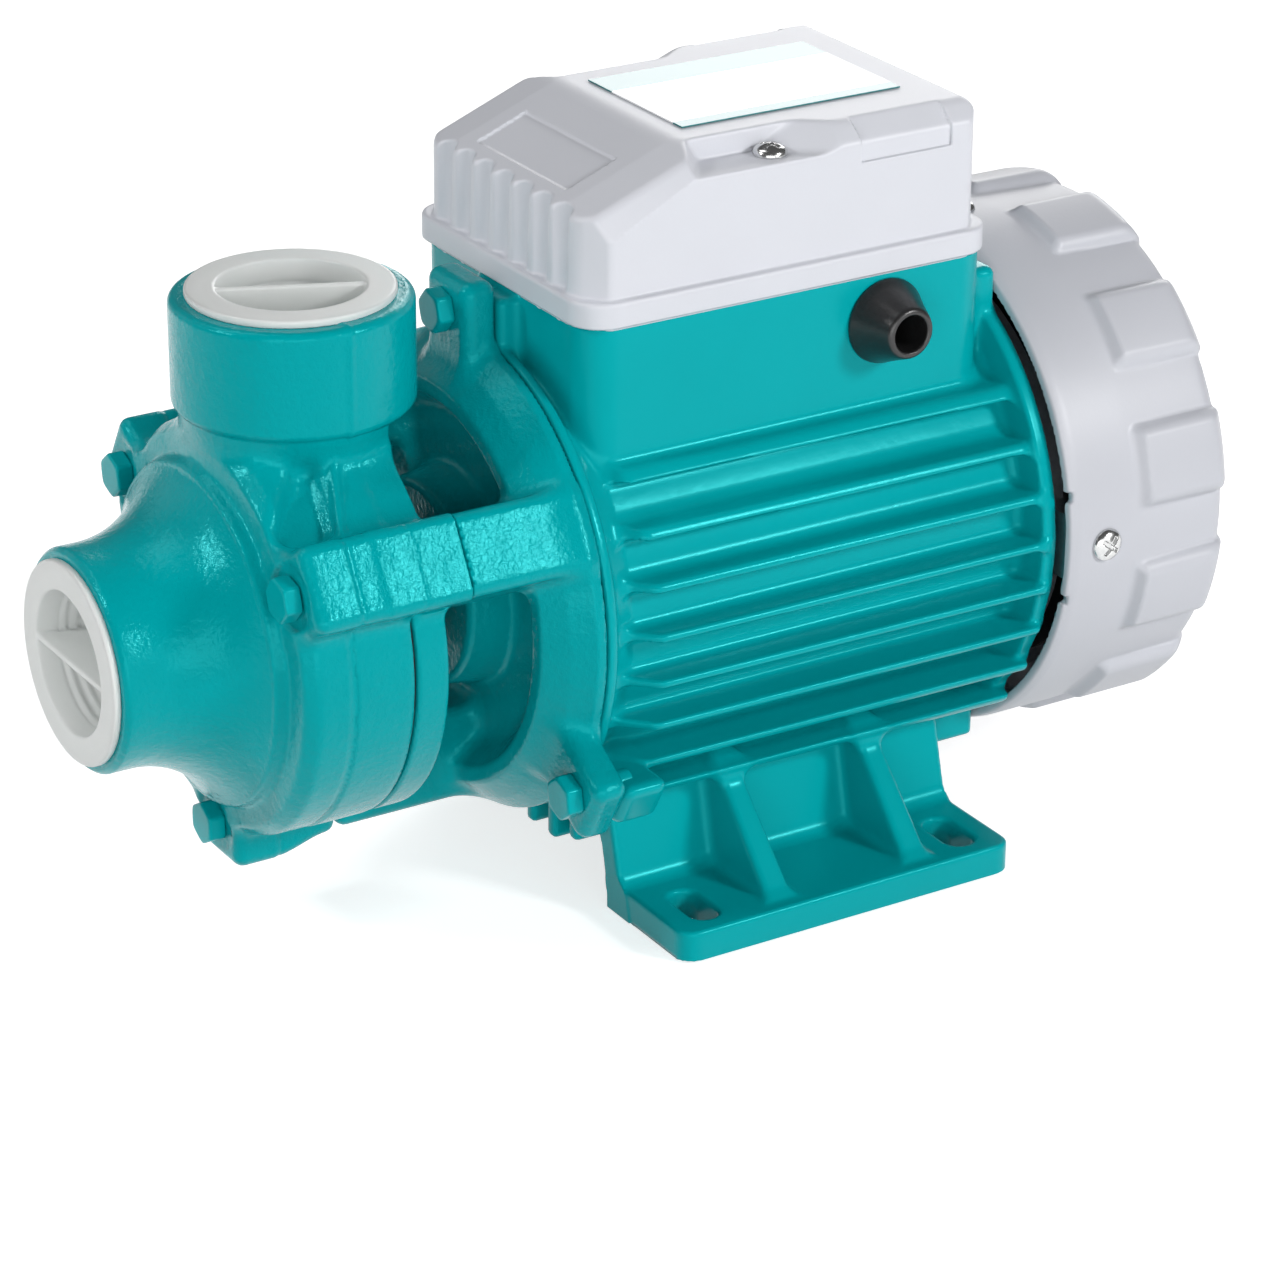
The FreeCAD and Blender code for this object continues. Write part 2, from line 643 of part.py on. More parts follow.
def slinger():
    return node("slinger", lathe("slinger_ring", [
        ("-71", "seal_shaft_r"),
        ("-71", "9"),
        ("-70.2", "14"),
        ("-68.8", "14"),
        ("-68", "9"),
        ("-67", "seal_shaft_r"),
    ]))


# ---------------------------------------------------------------- motor

def side_fins():
    envelope = lathe("fin_envelope", [
        ("fin_root_front", "0"),
        ("fin_root_front", "barrel_r"),
        ("fin_tip_front", "fin_front_r"),
        ("fin_back", "fin_back_r"),
        ("barrel_back", "barrel_r"),
        ("barrel_back", "0"),
    ], on_shaft=False)
    move(envelope, z="shaft_height - fin_axis_drop")
    plates = []
    for index in range(-4, 4):
        centre = f"shaft_height + fin_rise + {index} * fin_pitch"
        plates.append(block(f"fin_{index + 4}", "-58", "58", "fin_root_front", "barrel_back",
                            f"{centre} - fin_thickness / 2", f"{centre} + fin_thickness / 2"))
    return overlap("side_fins", join("fin_plates", *plates), envelope)


def bottom_fins():
    plates = []
    for side in (-1, 1):
        for index in (1, 2, 3):
            x = f"{side} * {index} * bottom_fin_pitch"
            low = "bottom_fin_low" if index < 3 else "bottom_fin_low + 3"
            plates.append(block(f"bottom_fin_{side + 1}_{index}", f"{x} - bottom_fin_thickness / 2",
                                f"{x} + bottom_fin_thickness / 2", "-44.3", "fin_back",
                                low, "shaft_height - 20"))
    return join("bottom_fins", *plates)


def foot(side):
    """One foot: plate, leaning wall, two gussets and two slots across the shaft."""
    wall = pad(f"foot_wall_{side}", "XZ_Plane", [
        ("foot_inner", "0"),
        ("foot_inner + foot_wall", "0"),
        ("foot_inner + foot_wall - foot_wall_lean - 1", "foot_wall_top"),
        ("foot_inner - foot_wall_lean - 5", "foot_wall_top"),
    ], "2 * foot_half_length", "foot_half_length")
    plate = rounded_block(f"foot_plate_{side}", "foot_inner", "foot_outer", "-foot_half_length",
                          "foot_half_length", "0", "foot_thickness", "4")
    square = block(f"foot_square_{side}", "foot_inner", "foot_inner + 10", "-foot_half_length",
                   "foot_half_length", "0", "foot_thickness")
    gussets = []
    for place in ("gusset_front", "gusset_back"):
        gussets.append(pad(f"{place}_{side}", "XZ_Plane", [
            ("foot_inner", "foot_thickness - 1"),
            ("foot_outer - 4.5", "foot_thickness - 1"),
            ("foot_outer - 4.5", "foot_thickness + 0.4"),
            ("foot_inner + 1.5", "foot_wall_top - 4"),
            ("foot_inner - 5", "foot_wall_top - 4"),
        ], "gusset_width", f"{place} + gusset_width / 2"))
    body = join(f"foot_body_{side}", wall, plate, square, *gussets)
    slots = []
    for index, place in enumerate(("-slot_y", "slot_y")):
        reach = "(slot_length / 2 - slot_half_width)"
        slots.append(block(f"slot_{side}_{index}", f"slot_x - {reach}", f"slot_x + {reach}",
                           f"{place} - slot_half_width", f"{place} + slot_half_width",
                           "-1", "foot_thickness + 1"))
        for end in (-1, 1):
            slots.append(upright(f"slot_end_{side}_{index}_{end + 1}", "slot_half_width", "-1",
                                 "foot_thickness + 1", f"slot_x + {end} * {reach}", place))
    return take(f"foot_{side}", body, *slots)


def motor_housing():
    barrel = lathe("barrel", [
        ("flange_back + 0.2", "barrel_bore_r"),
        ("flange_back + 0.2", "flange_r"),
        ("flange_back + 2.2", "flange_r"),
        ("fin_root_front", "barrel_r"),
        ("barrel_back - 3.5", "barrel_r"),
        ("barrel_back - 3.5", "rear_flange_r"),
        ("barrel_back", "rear_flange_r"),
        ("barrel_back", "barrel_bore_r"),
    ])
    bosses = []
    for angle in EAR_ANGLES:
        outer = "terminal_top - shaft_height" if angle == 90 else "ear_outer - 1"
        back = "terminal_front + 2" if angle == 90 else "-39.5"
        bosses.append(radial_block("boss", angle, "7", "40", outer, "flange_back + 0.2", back))
    terminal = rounded_block("terminal_walls", "-terminal_half_width", "terminal_half_width",
                             "terminal_front", "terminal_back", "shaft_height + 22", "terminal_top",
                             "terminal_corner")
    rear_block = block("terminal_rear", "-27", "27", "terminal_back - 8", "barrel_back",
                       "shaft_height + 30", "118")
    feet = [foot(0)]
    feet.append(mirrored("foot_1", feet[0]))
    body = join("housing_body", barrel, side_fins(), bottom_fins(), terminal, rear_block, *bosses, *feet)
    pillars = [upright(f"terminal_pillar_{side + 1}", "4.4", "terminal_floor - 1", "terminal_top",
                       f"{side} * (lid_rim_half_width - 7)", "lid_screw_y") for side in (-1, 1)]
    inset = "terminal_half_width - terminal_wall"
    cavity = rounded_block("terminal_cavity", f"-({inset})", inset,
                           "terminal_front + terminal_wall", "terminal_back - terminal_wall",
                           "terminal_floor", "terminal_top + 1", "terminal_corner - terminal_wall")
    cuts = [
        along_shaft("housing_bore", "barrel_bore_r", "flange_back - 1", "barrel_back + 1"),
        cavity,
        across("gland_hole", "6", "terminal_half_width - terminal_wall - 1", "terminal_half_width + 1",
               "gland_y", "gland_z"),
        across("gland_seat", "8.1", "terminal_half_width - terminal_wall - 2.6", "terminal_half_width - terminal_wall",
               "gland_y", "gland_z"),
        upright("lead_hole", "4.5", "shaft_height + 38", "terminal_floor + 1", "-21", "-30"),
    ]
    cuts += bolt_holes("boss_thread", "bolt_r", "flange_back - 1", "-43.3", "flange_bolt_circle", EAR_ANGLES)
    hollow = take("housing_hollow", body, *cuts)
    screw_holes = [upright(f"terminal_screw_hole_{side + 1}", "1.9", "terminal_floor + 3", "terminal_top + 1",
                           f"{side} * (lid_rim_half_width - 7)", "lid_screw_y") for side in (-1, 1)]
    return node("motor_housing", take("housing", join("housing_with_pillars", hollow, *pillars), *screw_holes))


def stator():
    core = tube("stator_stack", "stator_bore_r", "barrel_bore_r", "core_front", "core_back")
    windings = [
        tube("winding_front", "stator_bore_r + 1.6", "37", "core_front - winding_overhang", "core_front"),
        tube("winding_back", "stator_bore_r + 1.6", "37", "core_back", "core_back + winding_overhang"),
    ]
    node("stator_core", core)
    node("stator_windings", group("winding_set", *windings))


def rotor():
    shaft = lathe("shaft", [
        ("shaft_front", "0"),
        ("shaft_front", "impeller_shaft_r - 0.8"),
        ("shaft_front + 0.8", "impeller_shaft_r"),
        ("-94", "impeller_shaft_r"),
        ("-94", "seal_shaft_r"),
        ("front_bearing_y - 1", "seal_shaft_r"),
        ("front_bearing_y - 1", "front_bearing_bore_r"),
        ("front_bearing_y + front_bearing_width", "front_bearing_bore_r"),
        ("front_bearing_y + front_bearing_width", "core_shaft_r"),
        ("rear_bearing_y", "core_shaft_r"),
        ("rear_bearing_y", "rear_bearing_bore_r"),
        ("fan_front - 1", "rear_bearing_bore_r"),
        ("fan_front - 1", "fan_shaft_r"),
        ("shaft_back", "fan_shaft_r"),
        ("shaft_back", "0"),
    ])
    key_seat = block("key_seat", "-1.5", "1.5", "impeller_front + 2.8", "impeller_front + impeller_width - 1",
                     "shaft_height + 3", "shaft_height + 7")
    groove = tube("circlip_groove", "4.7", "8", "impeller_front + 1.4", "impeller_front + 2.4")
    clip_groove = tube("fan_clip_groove", "4.2", "8", "fan_front + fan_depth + 0.4", "fan_front + fan_depth + 1.4")
    node("rotor_shaft", take("shaft_cut", shaft, key_seat, groove, clip_groove))
    node("rotor_core", tube("rotor_stack", "core_shaft_r", "rotor_r", "core_front", "core_back"))
    rings = [
        tube("end_ring_front", "17", "rotor_r - 1", "core_front - 6", "core_front"),
        tube("end_ring_back", "17", "rotor_r - 1", "core_back", "core_back + 6"),
    ]
    node("rotor_end_rings", group("end_ring_set", *rings))


def bearing(place):
    """A deep-groove ball bearing: inner ring, outer ring and balls."""
    y0 = f"{place}_bearing_y"
    y1 = f"{place}_bearing_y + {place}_bearing_width"
    middle = f"{place}_bearing_y + {place}_bearing_width / 2"
    pitch = f"{place}_ball_pitch_r"
    groove = doc.addObject("Part::Torus", f"{place}_groove")
    groove.Placement = Placement(Vector(), Rotation(Vector(1, 0, 0), -90))
    bind(groove, Radius1=pitch, Radius2="race_r")
    move(groove, "0", middle, "shaft_height")
    inner = tube(f"{place}_inner_blank", f"{place}_bearing_bore_r", f"{pitch} - race_land", y0, y1)
    outer = tube(f"{place}_outer_blank", f"{pitch} + race_land", f"{place}_bearing_outer_r", y0, y1)
    balls = []
    count = 8 if place == "front" else 7
    for index in range(count):
        angle = 360 * index / count
        ball = doc.addObject("Part::Sphere", f"{place}_ball_{index}")
        bind(ball, Radius="ball_r")
        move(ball, f"{pitch} * cos({angle} deg)", middle, f"shaft_height + {pitch} * sin({angle} deg)")
        balls.append(ball)
    node(f"{place}_bearing_inner", take(f"{place}_inner", inner, groove))
    node(f"{place}_bearing_outer", take(f"{place}_outer", outer, groove))
    node(f"{place}_bearing_balls", group(f"{place}_balls", *balls))


SCREW_ANGLES = (0, 90, 180, 270)


def rear_end_shield():
    disc = lathe("shield_disc", [
        ("barrel_back", "rear_bearing_outer_r"),
        ("barrel_back", "barrel_r + 1"),
        ("barrel_back + 6", "barrel_r + 1"),
        ("barrel_back + 6", "20"),
        ("barrel_back + 14", "19.5"),
        ("barrel_back + 14", "8"),
        ("barrel_back + 12", "8"),
        ("barrel_back + 12", "rear_bearing_outer_r"),
    ])
    lugs = [radial_block("shield_lug", angle, "7", "40", "cowl_r - cowl_wall - 0.7", "barrel_back + 1",
                         "barrel_back + 13.5") for angle in SCREW_ANGLES]
    holes = []
    for angle in SCREW_ANGLES:
        x = f"(cowl_r - 12) * cos({angle} deg)"
        z = f"shaft_height + (cowl_r - 12) * sin({angle} deg)"
        drill = doc.addObject("Part::Cylinder", f"shield_drill_{angle}")
        drill.Placement = Placement(Vector(), Rotation(Vector(0, 1, 0), 90 - angle))
        bind(drill, Radius="1.6", Height="14")
        holes.append(move(drill, x, "cowl_screw_y", z))
    return node("rear_end_shield", take("shield", join("shield_body", disc, *lugs), *holes))


def wave_washer():
    return node("wave_washer", tube("washer_ring", "12.5", "rear_bearing_outer_r - 0.3",
                                    "rear_bearing_y + rear_bearing_width", "rear_bearing_y + rear_bearing_width + 0.9"))


def cooling_fan():
    hub = tube("fan_hub", "fan_shaft_r", "9", "fan_front", "fan_front + fan_depth")
    disc = tube("fan_disc", "8", "fan_r", "fan_front", "fan_front + 2")
    blades = [radial_block("fan_blade", angle, "1.1", "8.5", "fan_r", "fan_front + 1", "fan_front + fan_depth")
              for angle in range(0, 360, 45)]
    return node("cooling_fan", join("fan", hub, disc, *blades))


def fan_clip():
    return node("fan_clip", tube("fan_clip_ring", "4.2", "8", "fan_front + fan_depth + 0.4",
                                 "fan_front + fan_depth + 1.4"))


def fan_cover():
    skin = lathe("cowl_skin", [
        ("cowl_front", "cowl_r - cowl_wall"),
        ("cowl_front", "cowl_r"),
        ("cowl_back - 4", "cowl_r"),
        ("cowl_back", "cowl_r - 4"),
        ("cowl_back", "0"),
        ("cowl_back - 2.5", "0"),
        ("cowl_back - 2.5", "cowl_r - 5"),
        ("cowl_back - 5", "cowl_r - cowl_wall"),
    ])
    rib_ring = lathe("rib_ring", [
        ("cowl_rib_front", "cowl_r - 1"),
        ("cowl_rib_front + 1.5", "cowl_rib_r"),
        ("cowl_back - 3.5", "cowl_rib_r"),
        ("cowl_back - 1", "cowl_r - 3"),
        ("cowl_back - 3", "cowl_r - 3.5"),
    ])
    rib_spokes = [radial_block("rib", angle, "8.6", "48", "60", "cowl_rib_front - 1", "cowl_back + 1")
                  for angle in range(15, 360, 30)]
    ribs = overlap("ribs", rib_ring, join("rib_spokes", *rib_spokes))
    slots = []
    slot_gap = 7
    for row in range(-5, 6):
        half = f"sqrt(40^2 - ({row} * {slot_gap})^2)"
        slots.append(block(f"grille_slot_{row + 5}", f"-{half}", half, "cowl_back - 4", "cowl_back + 1",
                           f"shaft_height + {row} * {slot_gap} - 1.7", f"shaft_height + {row} * {slot_gap} + 1.7"))
    bars = [block("grille_bar_tall", "-3", "3", "cowl_back - 5", "cowl_back + 2",
                  "shaft_height - 45", "shaft_height + 45")]
    grille = take("grille_cut", join("grille_slots", *slots), *bars)
    holes = []
    for angle in SCREW_ANGLES:
        drill = doc.addObject("Part::Cylinder", f"cowl_drill_{angle}")
        drill.Placement = Placement(Vector(), Rotation(Vector(0, 1, 0), 90 - angle))
        bind(drill, Radius="2.1", Height="20")
        x = f"(cowl_r - 10) * cos({angle} deg)"
        z = f"shaft_height + (cowl_r - 10) * sin({angle} deg)"
        holes.append(move(drill, x, "cowl_screw_y", z))
    return node("fan_cover", take("cowl", join("cowl_body", skin, ribs), grille, *holes))


def fan_cover_screws():
    screws = []
    for angle in SCREW_ANGLES:
        parts = []
        for kind, r, start, length in (("shank", "1.6", "cowl_r - 11", "11.2"), ("head", "3.6", "cowl_r", "2.1")):
            piece = doc.addObject("Part::Cylinder", f"cowl_screw_{kind}_{angle}")
            piece.Placement = Placement(Vector(), Rotation(Vector(0, 1, 0), 90 - angle))
            bind(piece, Radius=r, Height=length)
            move(piece, f"({start}) * cos({angle} deg)", "cowl_screw_y",
                 f"shaft_height + ({start}) * sin({angle} deg)")
            parts.append(piece)
        screws.append(join(f"cowl_screw_{angle}", *parts))
    return node("fan_cover_screws", group("cowl_screw_set", *screws))


# ---------------------------------------------------------------- terminal box

def lid_upper():
    """The lid above its rim: a side view crossed with an end view."""
    side_view = pad("lid_side_view", "YZ_Plane", [
        ("lid_rim_front + 1.6", "lid_rim_top - 1"),
        ("lid_rim_front + 2.2", "lid_front_top"),
        ("-21", "lid_top"),
        ("lid_rim_back - 7", "lid_top"),
        ("lid_rim_back - 2.2", "lid_shoulder + 1"),
        ("lid_rim_back - 1.2", "lid_rim_top - 1"),
    ], "2 * lid_rim_half_width", "-lid_rim_half_width")
    end_view = pad("lid_end_view", "XZ_Plane", [
        ("-lid_rim_half_width + 1.4", "lid_rim_top - 1"),
        ("-lid_rim_half_width + 1.9", "lid_shoulder + 1"),
        ("-lid_top_half_width", "lid_top"),
        ("lid_top_half_width", "lid_top"),
        ("lid_rim_half_width - 1.9", "lid_shoulder + 1"),
        ("lid_rim_half_width - 1.4", "lid_rim_top - 1"),
    ], "2 * lid_rim_back", "lid_rim_back")
    return overlap("lid_upper", side_view, end_view)


def terminal_cover():
    rim = rounded_block("lid_rim", "-lid_rim_half_width", "lid_rim_half_width", "lid_rim_front",
                        "lid_rim_back", "terminal_top + 0.3", "lid_rim_top", "9")
    upper = lid_upper()
    room = rounded_block("lid_room", "-lid_rim_half_width + 4.2", "lid_rim_half_width - 4.2",
                         "lid_rim_front + 4.6", "lid_rim_back - 4", "terminal_top - 1", "lid_shoulder - 6", "5")
    top_room = pad("lid_top_room", "YZ_Plane", [
        ("lid_rim_front + 5", "lid_shoulder - 7"),
        ("-20", "lid_top - lid_wall"),
        ("lid_rim_back - 10", "lid_top - lid_wall"),
        ("lid_rim_back - 5", "lid_shoulder - 7"),
    ], "36", "-18")
    pockets = []
    for side in (-1, 1):
        x = f"{side} * (lid_rim_half_width - 7)"
        inner, outer = sorted((f"{side} * lid_pocket_inner", f"{side} * (lid_rim_half_width + 1)"), key=size)
        pockets.append(block(f"lid_pocket_{side + 1}", inner, outer, "lid_pocket_front", "lid_pocket_back",
                             "lid_shoulder", "lid_top + 1"))
        pockets.append(upright(f"lid_screw_hole_{side + 1}", "2", "terminal_top - 1", "lid_shoulder + 1", x, "lid_screw_y"))
    pillars = [upright(f"lid_pillar_{side + 1}", "6.2", "terminal_top + 0.3", "lid_shoulder - 2",
                       f"{side} * (lid_rim_half_width - 7)", "lid_screw_y") for side in (-1, 1)]
    body = join("lid_body", rim, upper)
    hollow = take("lid_shell", body, room, top_room)
    solid = join("lid_with_pillars", hollow, overlap("lid_pillars", join("lid_pillar_pair", *pillars), body))
    return node("terminal_cover", take("lid", solid, *pockets))


def cover_gasket():
    outer = rounded_block("gasket_outer", "-terminal_half_width + 0.5", "terminal_half_width - 0.5",
                          "terminal_front + 0.5", "terminal_back - 0.5", "terminal_top", "terminal_top + 0.3", "7.5")
    inner = rounded_block("gasket_inner", "-terminal_half_width + 2.6", "terminal_half_width - 2.6",
                          "terminal_front + 2.6", "terminal_back - 2.6", "terminal_top - 1",
                          "terminal_top + 1", "5")
    holes = [upright(f"gasket_screw_{side + 1}", "2", "terminal_top - 1", "terminal_top + 1",
                     f"{side} * (lid_rim_half_width - 7)", "lid_screw_y") for side in (-1, 1)]
    return node("cover_gasket", take("lid_gasket", outer, inner, *holes))


def cover_screws():
    screws = []
    for side in (-1, 1):
        x = f"{side} * (lid_rim_half_width - 7)"
        head = upright(f"lid_screw_head_{side + 1}", "3.8", "lid_shoulder", "lid_shoulder + 2.4", x, "lid_screw_y")
        shank = upright(f"lid_screw_shank_{side + 1}", "1.9", "terminal_floor + 4", "lid_shoulder + 0.5", x, "lid_screw_y")
        screws.append(join(f"lid_screw_{side + 1}", head, shank))
    return node("cover_screws", group("lid_screw_set", *screws))


def box_contents():
    node("rating_plate", block("plate", "-17.5", "17.5", "-15", "36", "lid_top", "lid_top + 0.3"))
    can = along_shaft("capacitor_can", "14.5", "-14", "40", "-6.5", "terminal_floor + 15.5")
    tabs = [block(f"capacitor_tab_{index}", f"{x} - 0.4", f"{x} + 0.4", "-22", "-13.5",
                  "terminal_floor + 13", "terminal_floor + 19") for index, x in enumerate(("-10.5", "-2.5"))]
    node("capacitor", join("capacitor_body", can, *tabs))
    band = tube("clip_band", "14.5", "15.4", "10", "18")
    move(band, "-6.5", "0", "terminal_floor + 15.5")
    node("capacitor_clip", band)
    carrier = block("terminal_carrier", "-14", "14", "-40", "-28", "terminal_floor", "terminal_floor + 12")
    wire_ways = [across(f"wire_way_{index}", "2", "-15", "15", f"{y}", "terminal_floor + 7")
                 for index, y in enumerate(("-37", "-31"))]
    screw_ways = [upright(f"screw_way_{index}", "1.7", "terminal_floor + 3", "terminal_floor + 13", str(x), "-34")
                  for index, x in enumerate((-9, 0, 9))]
    node("terminal_block", take("terminal_block_cut", carrier, *wire_ways, *screw_ways))
    node("terminal_screws", group("terminal_screw_set", *[
        upright(f"terminal_screw_{index}", "1.6", "terminal_floor + 5.5", "terminal_floor + 11", str(x), "-34")
        for index, x in enumerate((-9, 0, 9))]))
    earth_head = upright("earth_head", "3.6", "terminal_floor", "terminal_floor + 2.6", "22", "-30")
    node("earth_screw", earth_head)


def cable_gland():
    boot = cone_across("gland_boot", "gland_base_r", "gland_tip_r", "terminal_half_width",
                       "terminal_half_width + gland_length", "gland_y", "gland_z")
    stem = across("gland_stem", "5.9", "terminal_half_width - terminal_wall - 1", "terminal_half_width + 1",
                  "gland_y", "gland_z")
    flange = across("gland_flange", "8", "terminal_half_width - terminal_wall - 2.5",
                    "terminal_half_width - terminal_wall", "gland_y", "gland_z")
    bore = across("gland_bore", "gland_bore_r", "terminal_half_width - terminal_wall - 4",
                  "terminal_half_width + gland_length + 1", "gland_y", "gland_z")
    return node("cable_gland", take("gland", join("gland_body", boot, stem, flange), bore))


pump_casing()
casing_gasket()
pump_bracket()
casing_bolts()
flange_bolts()
suction_plug()
discharge_plug()
impeller()
impeller_key()
impeller_circlip()
shaft_seal()
slinger()
motor_housing()
stator()
rotor()
bearing("front")
bearing("rear")
rear_end_shield()
wave_washer()
cooling_fan()
fan_clip()
fan_cover()
fan_cover_screws()
terminal_cover()
cover_gasket()
cover_screws()
box_contents()
cable_gland()
doc.recompute()

for item in doc.Objects:
    if any(word in ("Invalid", "Error") for word in item.State):
        raise SystemExit(f"{item.Name} ({item.Label}) failed: {item.State}")
os.makedirs("parts", exist_ok=True)
for name, item in NODES.items():
    shape = item.Shape
    if shape.isNull() or not shape.isValid():
        raise SystemExit(f"{name} has no valid shape")
    shape.exportStep(f"parts/{name}.step")
    print(name, len(shape.Solids), round(shape.Volume), [round(v, 1) for v in (
        shape.BoundBox.XMin, shape.BoundBox.XMax, shape.BoundBox.YMin, shape.BoundBox.YMax,
        shape.BoundBox.ZMin, shape.BoundBox.ZMax)])
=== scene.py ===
import math

import bmesh
import bpy
import numpy as np
from mathutils import Matrix, Vector


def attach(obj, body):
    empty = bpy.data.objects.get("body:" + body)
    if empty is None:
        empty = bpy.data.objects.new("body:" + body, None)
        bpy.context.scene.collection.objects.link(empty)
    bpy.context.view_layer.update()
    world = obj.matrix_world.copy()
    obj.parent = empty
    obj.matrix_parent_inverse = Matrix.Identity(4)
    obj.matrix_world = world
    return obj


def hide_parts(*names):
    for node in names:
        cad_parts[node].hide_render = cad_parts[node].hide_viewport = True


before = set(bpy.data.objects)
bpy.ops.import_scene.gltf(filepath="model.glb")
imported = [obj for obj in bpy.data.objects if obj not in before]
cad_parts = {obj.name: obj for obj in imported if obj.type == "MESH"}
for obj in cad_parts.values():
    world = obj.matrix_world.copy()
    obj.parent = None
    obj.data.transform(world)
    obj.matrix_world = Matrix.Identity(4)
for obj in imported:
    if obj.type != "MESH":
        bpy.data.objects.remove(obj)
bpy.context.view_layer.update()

# All shapes below are written in millimetres in the part's frame: Y along the shaft, Z up, X towards the gland.
MM = 0.001
SHAFT_Z = 65.3
MOST_TRIANGLES = 180000

LUG_ANGLES = (30, 150, 270)     # round the shaft, from +X towards +Z; the last one is the low lug
LUG_BOLT_CIRCLE = 41.0
LOW_LUG_DROP = 2.6              # the low lug and leg reach this much less far out than the others
EAR_ANGLES = (90, -30, 210)
EAR_BOLT_CIRCLE = 56.4
FIN_PITCH = 9.7
FLUTE_PITCH = 7.4
LID_TOP = 156.0
POCKET_FLOOR = 151.4
LID_SCREW_X, LID_SCREW_Y = 27.7, -1.3
GLAND_Y, GLAND_Z = 23.2, 114.4
FOOT_SLOT_X, FOOT_SLOT_Y = 50.4, 31.0
COWL_SCREW_Y = 64.2


# ---------------------------------------------------------------- distance fields

def smin(a, b, k):
    """Smooth union: a fillet of about k/2 where the two surfaces meet."""
    h = np.maximum(k - np.abs(a - b), 0.0)
    return np.minimum(a, b) - h * h / (4.0 * k)


def smax(a, b, k):
    """Smooth intersection, and with a negated field a smooth cut."""
    return -smin(-a, -b, k)


def length(*parts):
    """The length of a vector, from its parts."""
    total = parts[0] * parts[0]
    for part in parts[1:]:
        total = total + part * part
    return np.sqrt(total)


def rbox(x, y, z, lo, hi, r):
    """A block between two corners with edges of radius r."""
    q = []
    for value, low, high in zip((x, y, z), lo, hi):
        half = (high - low) / 2
        q.append(np.abs(value - (low + high) / 2) - (half - r))
    outside = length(np.maximum(q[0], 0), np.maximum(q[1], 0), np.maximum(q[2], 0))
    inside = np.minimum(np.maximum(np.maximum(q[0], q[1]), q[2]), 0)
    return outside + inside - r


def rod(a, b, t, r, t0, t1, edge=0.6):
    """A cylinder of radius r whose axis is the t direction, with a and b measured from that axis."""
    qa = length(a, b) - (r - edge)
    qt = np.abs(t - (t0 + t1) / 2) - ((t1 - t0) / 2 - edge)
    return length(np.maximum(qa, 0), np.maximum(qt, 0)) + np.minimum(np.maximum(qa, qt), 0) - edge


def slab(value, low, high):
    """What lies between two planes."""
    return np.abs(value - (low + high) / 2) - (high - low) / 2


def cone_capsule(x, y, z, a, b, ra, rb):
    """A round-ended rod from a to b whose radius runs from ra to rb."""
    d = [q - p for p, q in zip(a, b)]
    u, v, w = x - a[0], y - a[1], z - a[2]
    t = np.clip((u * d[0] + v * d[1] + w * d[2]) / sum(k * k for k in d), 0, 1)
    return length(u - t * d[0], v - t * d[1], w - t * d[2]) - (ra + (rb - ra) * t)


def rounded(points, steps=5):
    """A closed outline of (u, v) or (u, v, fillet) points, with its corners rounded."""
    out = []
    count = len(points)
    for i, point in enumerate(points):
        here = np.array(point[:2], float)
        if len(point) < 3:
            out.append(here)
            continue
        before = np.array(points[i - 1][:2], float) - here
        after = np.array(points[(i + 1) % count][:2], float) - here
        d0, d1 = before / np.linalg.norm(before), after / np.linalg.norm(after)
        half = math.acos(max(-0.9999, min(0.9999, float(d0 @ d1)))) / 2
        reach = min(point[2] / math.tan(half), 0.49 * np.linalg.norm(before), 0.49 * np.linalg.norm(after))
        radius = reach * math.tan(half)
        bisector = (d0 + d1) / np.linalg.norm(d0 + d1)
        centre = here + bisector * (radius / math.sin(half))
        start, end = here + d0 * reach - centre, here + d1 * reach - centre
        a0 = math.atan2(start[1], start[0])
        turn = (math.atan2(end[1], end[0]) - a0 + math.pi) % (2 * math.pi) - math.pi
        for step in range(steps + 1):
            angle = a0 + turn * step / steps
            out.append(centre + radius * np.array([math.cos(angle), math.sin(angle)]))
    return np.array(out)


class Outline:
    """The signed distance to a closed outline, kept in a table and read by interpolation."""

    def __init__(self, points, margin=9.0, step=0.25):
        points = np.asarray(rounded(points) if any(len(p) > 2 for p in points) else points, float)
        self.lo = points.min(0) - margin
        size = ((points.max(0) + margin - self.lo) / step).astype(int) + 2
        self.step = step
        u = self.lo[0] + step * np.arange(size[0])[:, None]
        v = self.lo[1] + step * np.arange(size[1])[None, :]
        best = np.full(size, 1e9)
        inside = np.zeros(size, bool)
        for (u0, v0), (u1, v1) in zip(points, np.roll(points, -1, 0)):
            du, dv = u1 - u0, v1 - v0
            t = np.clip(((u - u0) * du + (v - v0) * dv) / (du * du + dv * dv + 1e-12), 0, 1)
            best = np.minimum(best, (u - u0 - t * du) ** 2 + (v - v0 - t * dv) ** 2)
            if v0 != v1:
                crosses = (v0 > v) != (v1 > v)
                inside ^= crosses & (u < u0 + (v - v0) * du / dv)
        self.table = (np.sqrt(best) * np.where(inside, -1.0, 1.0)).astype(np.float32)

    def __call__(self, u, v):
        u, v = np.broadcast_arrays(u, v)
        gu = np.clip((u - self.lo[0]) / self.step, 0, self.table.shape[0] - 1.001)
        gv = np.clip((v - self.lo[1]) / self.step, 0, self.table.shape[1] - 1.001)
        iu, iv = gu.astype(np.int32), gv.astype(np.int32)
        fu, fv = (gu - iu).astype(np.float32), (gv - iv).astype(np.float32)
        table = self.table
        low = table[iu, iv] * (1 - fu) + table[iu + 1, iv] * fu
        high = table[iu, iv + 1] * (1 - fu) + table[iu + 1, iv + 1] * fu
        return low * (1 - fv) + high * fv


def polar(x, z, angle):
    """Distances out from and across the shaft's axis, for a direction from +X towards +Z."""
    c, s = math.cos(math.radians(angle)), math.sin(math.radians(angle))
    zz = z - SHAFT_Z
    return x * c + zz * s, zz * c - x * s


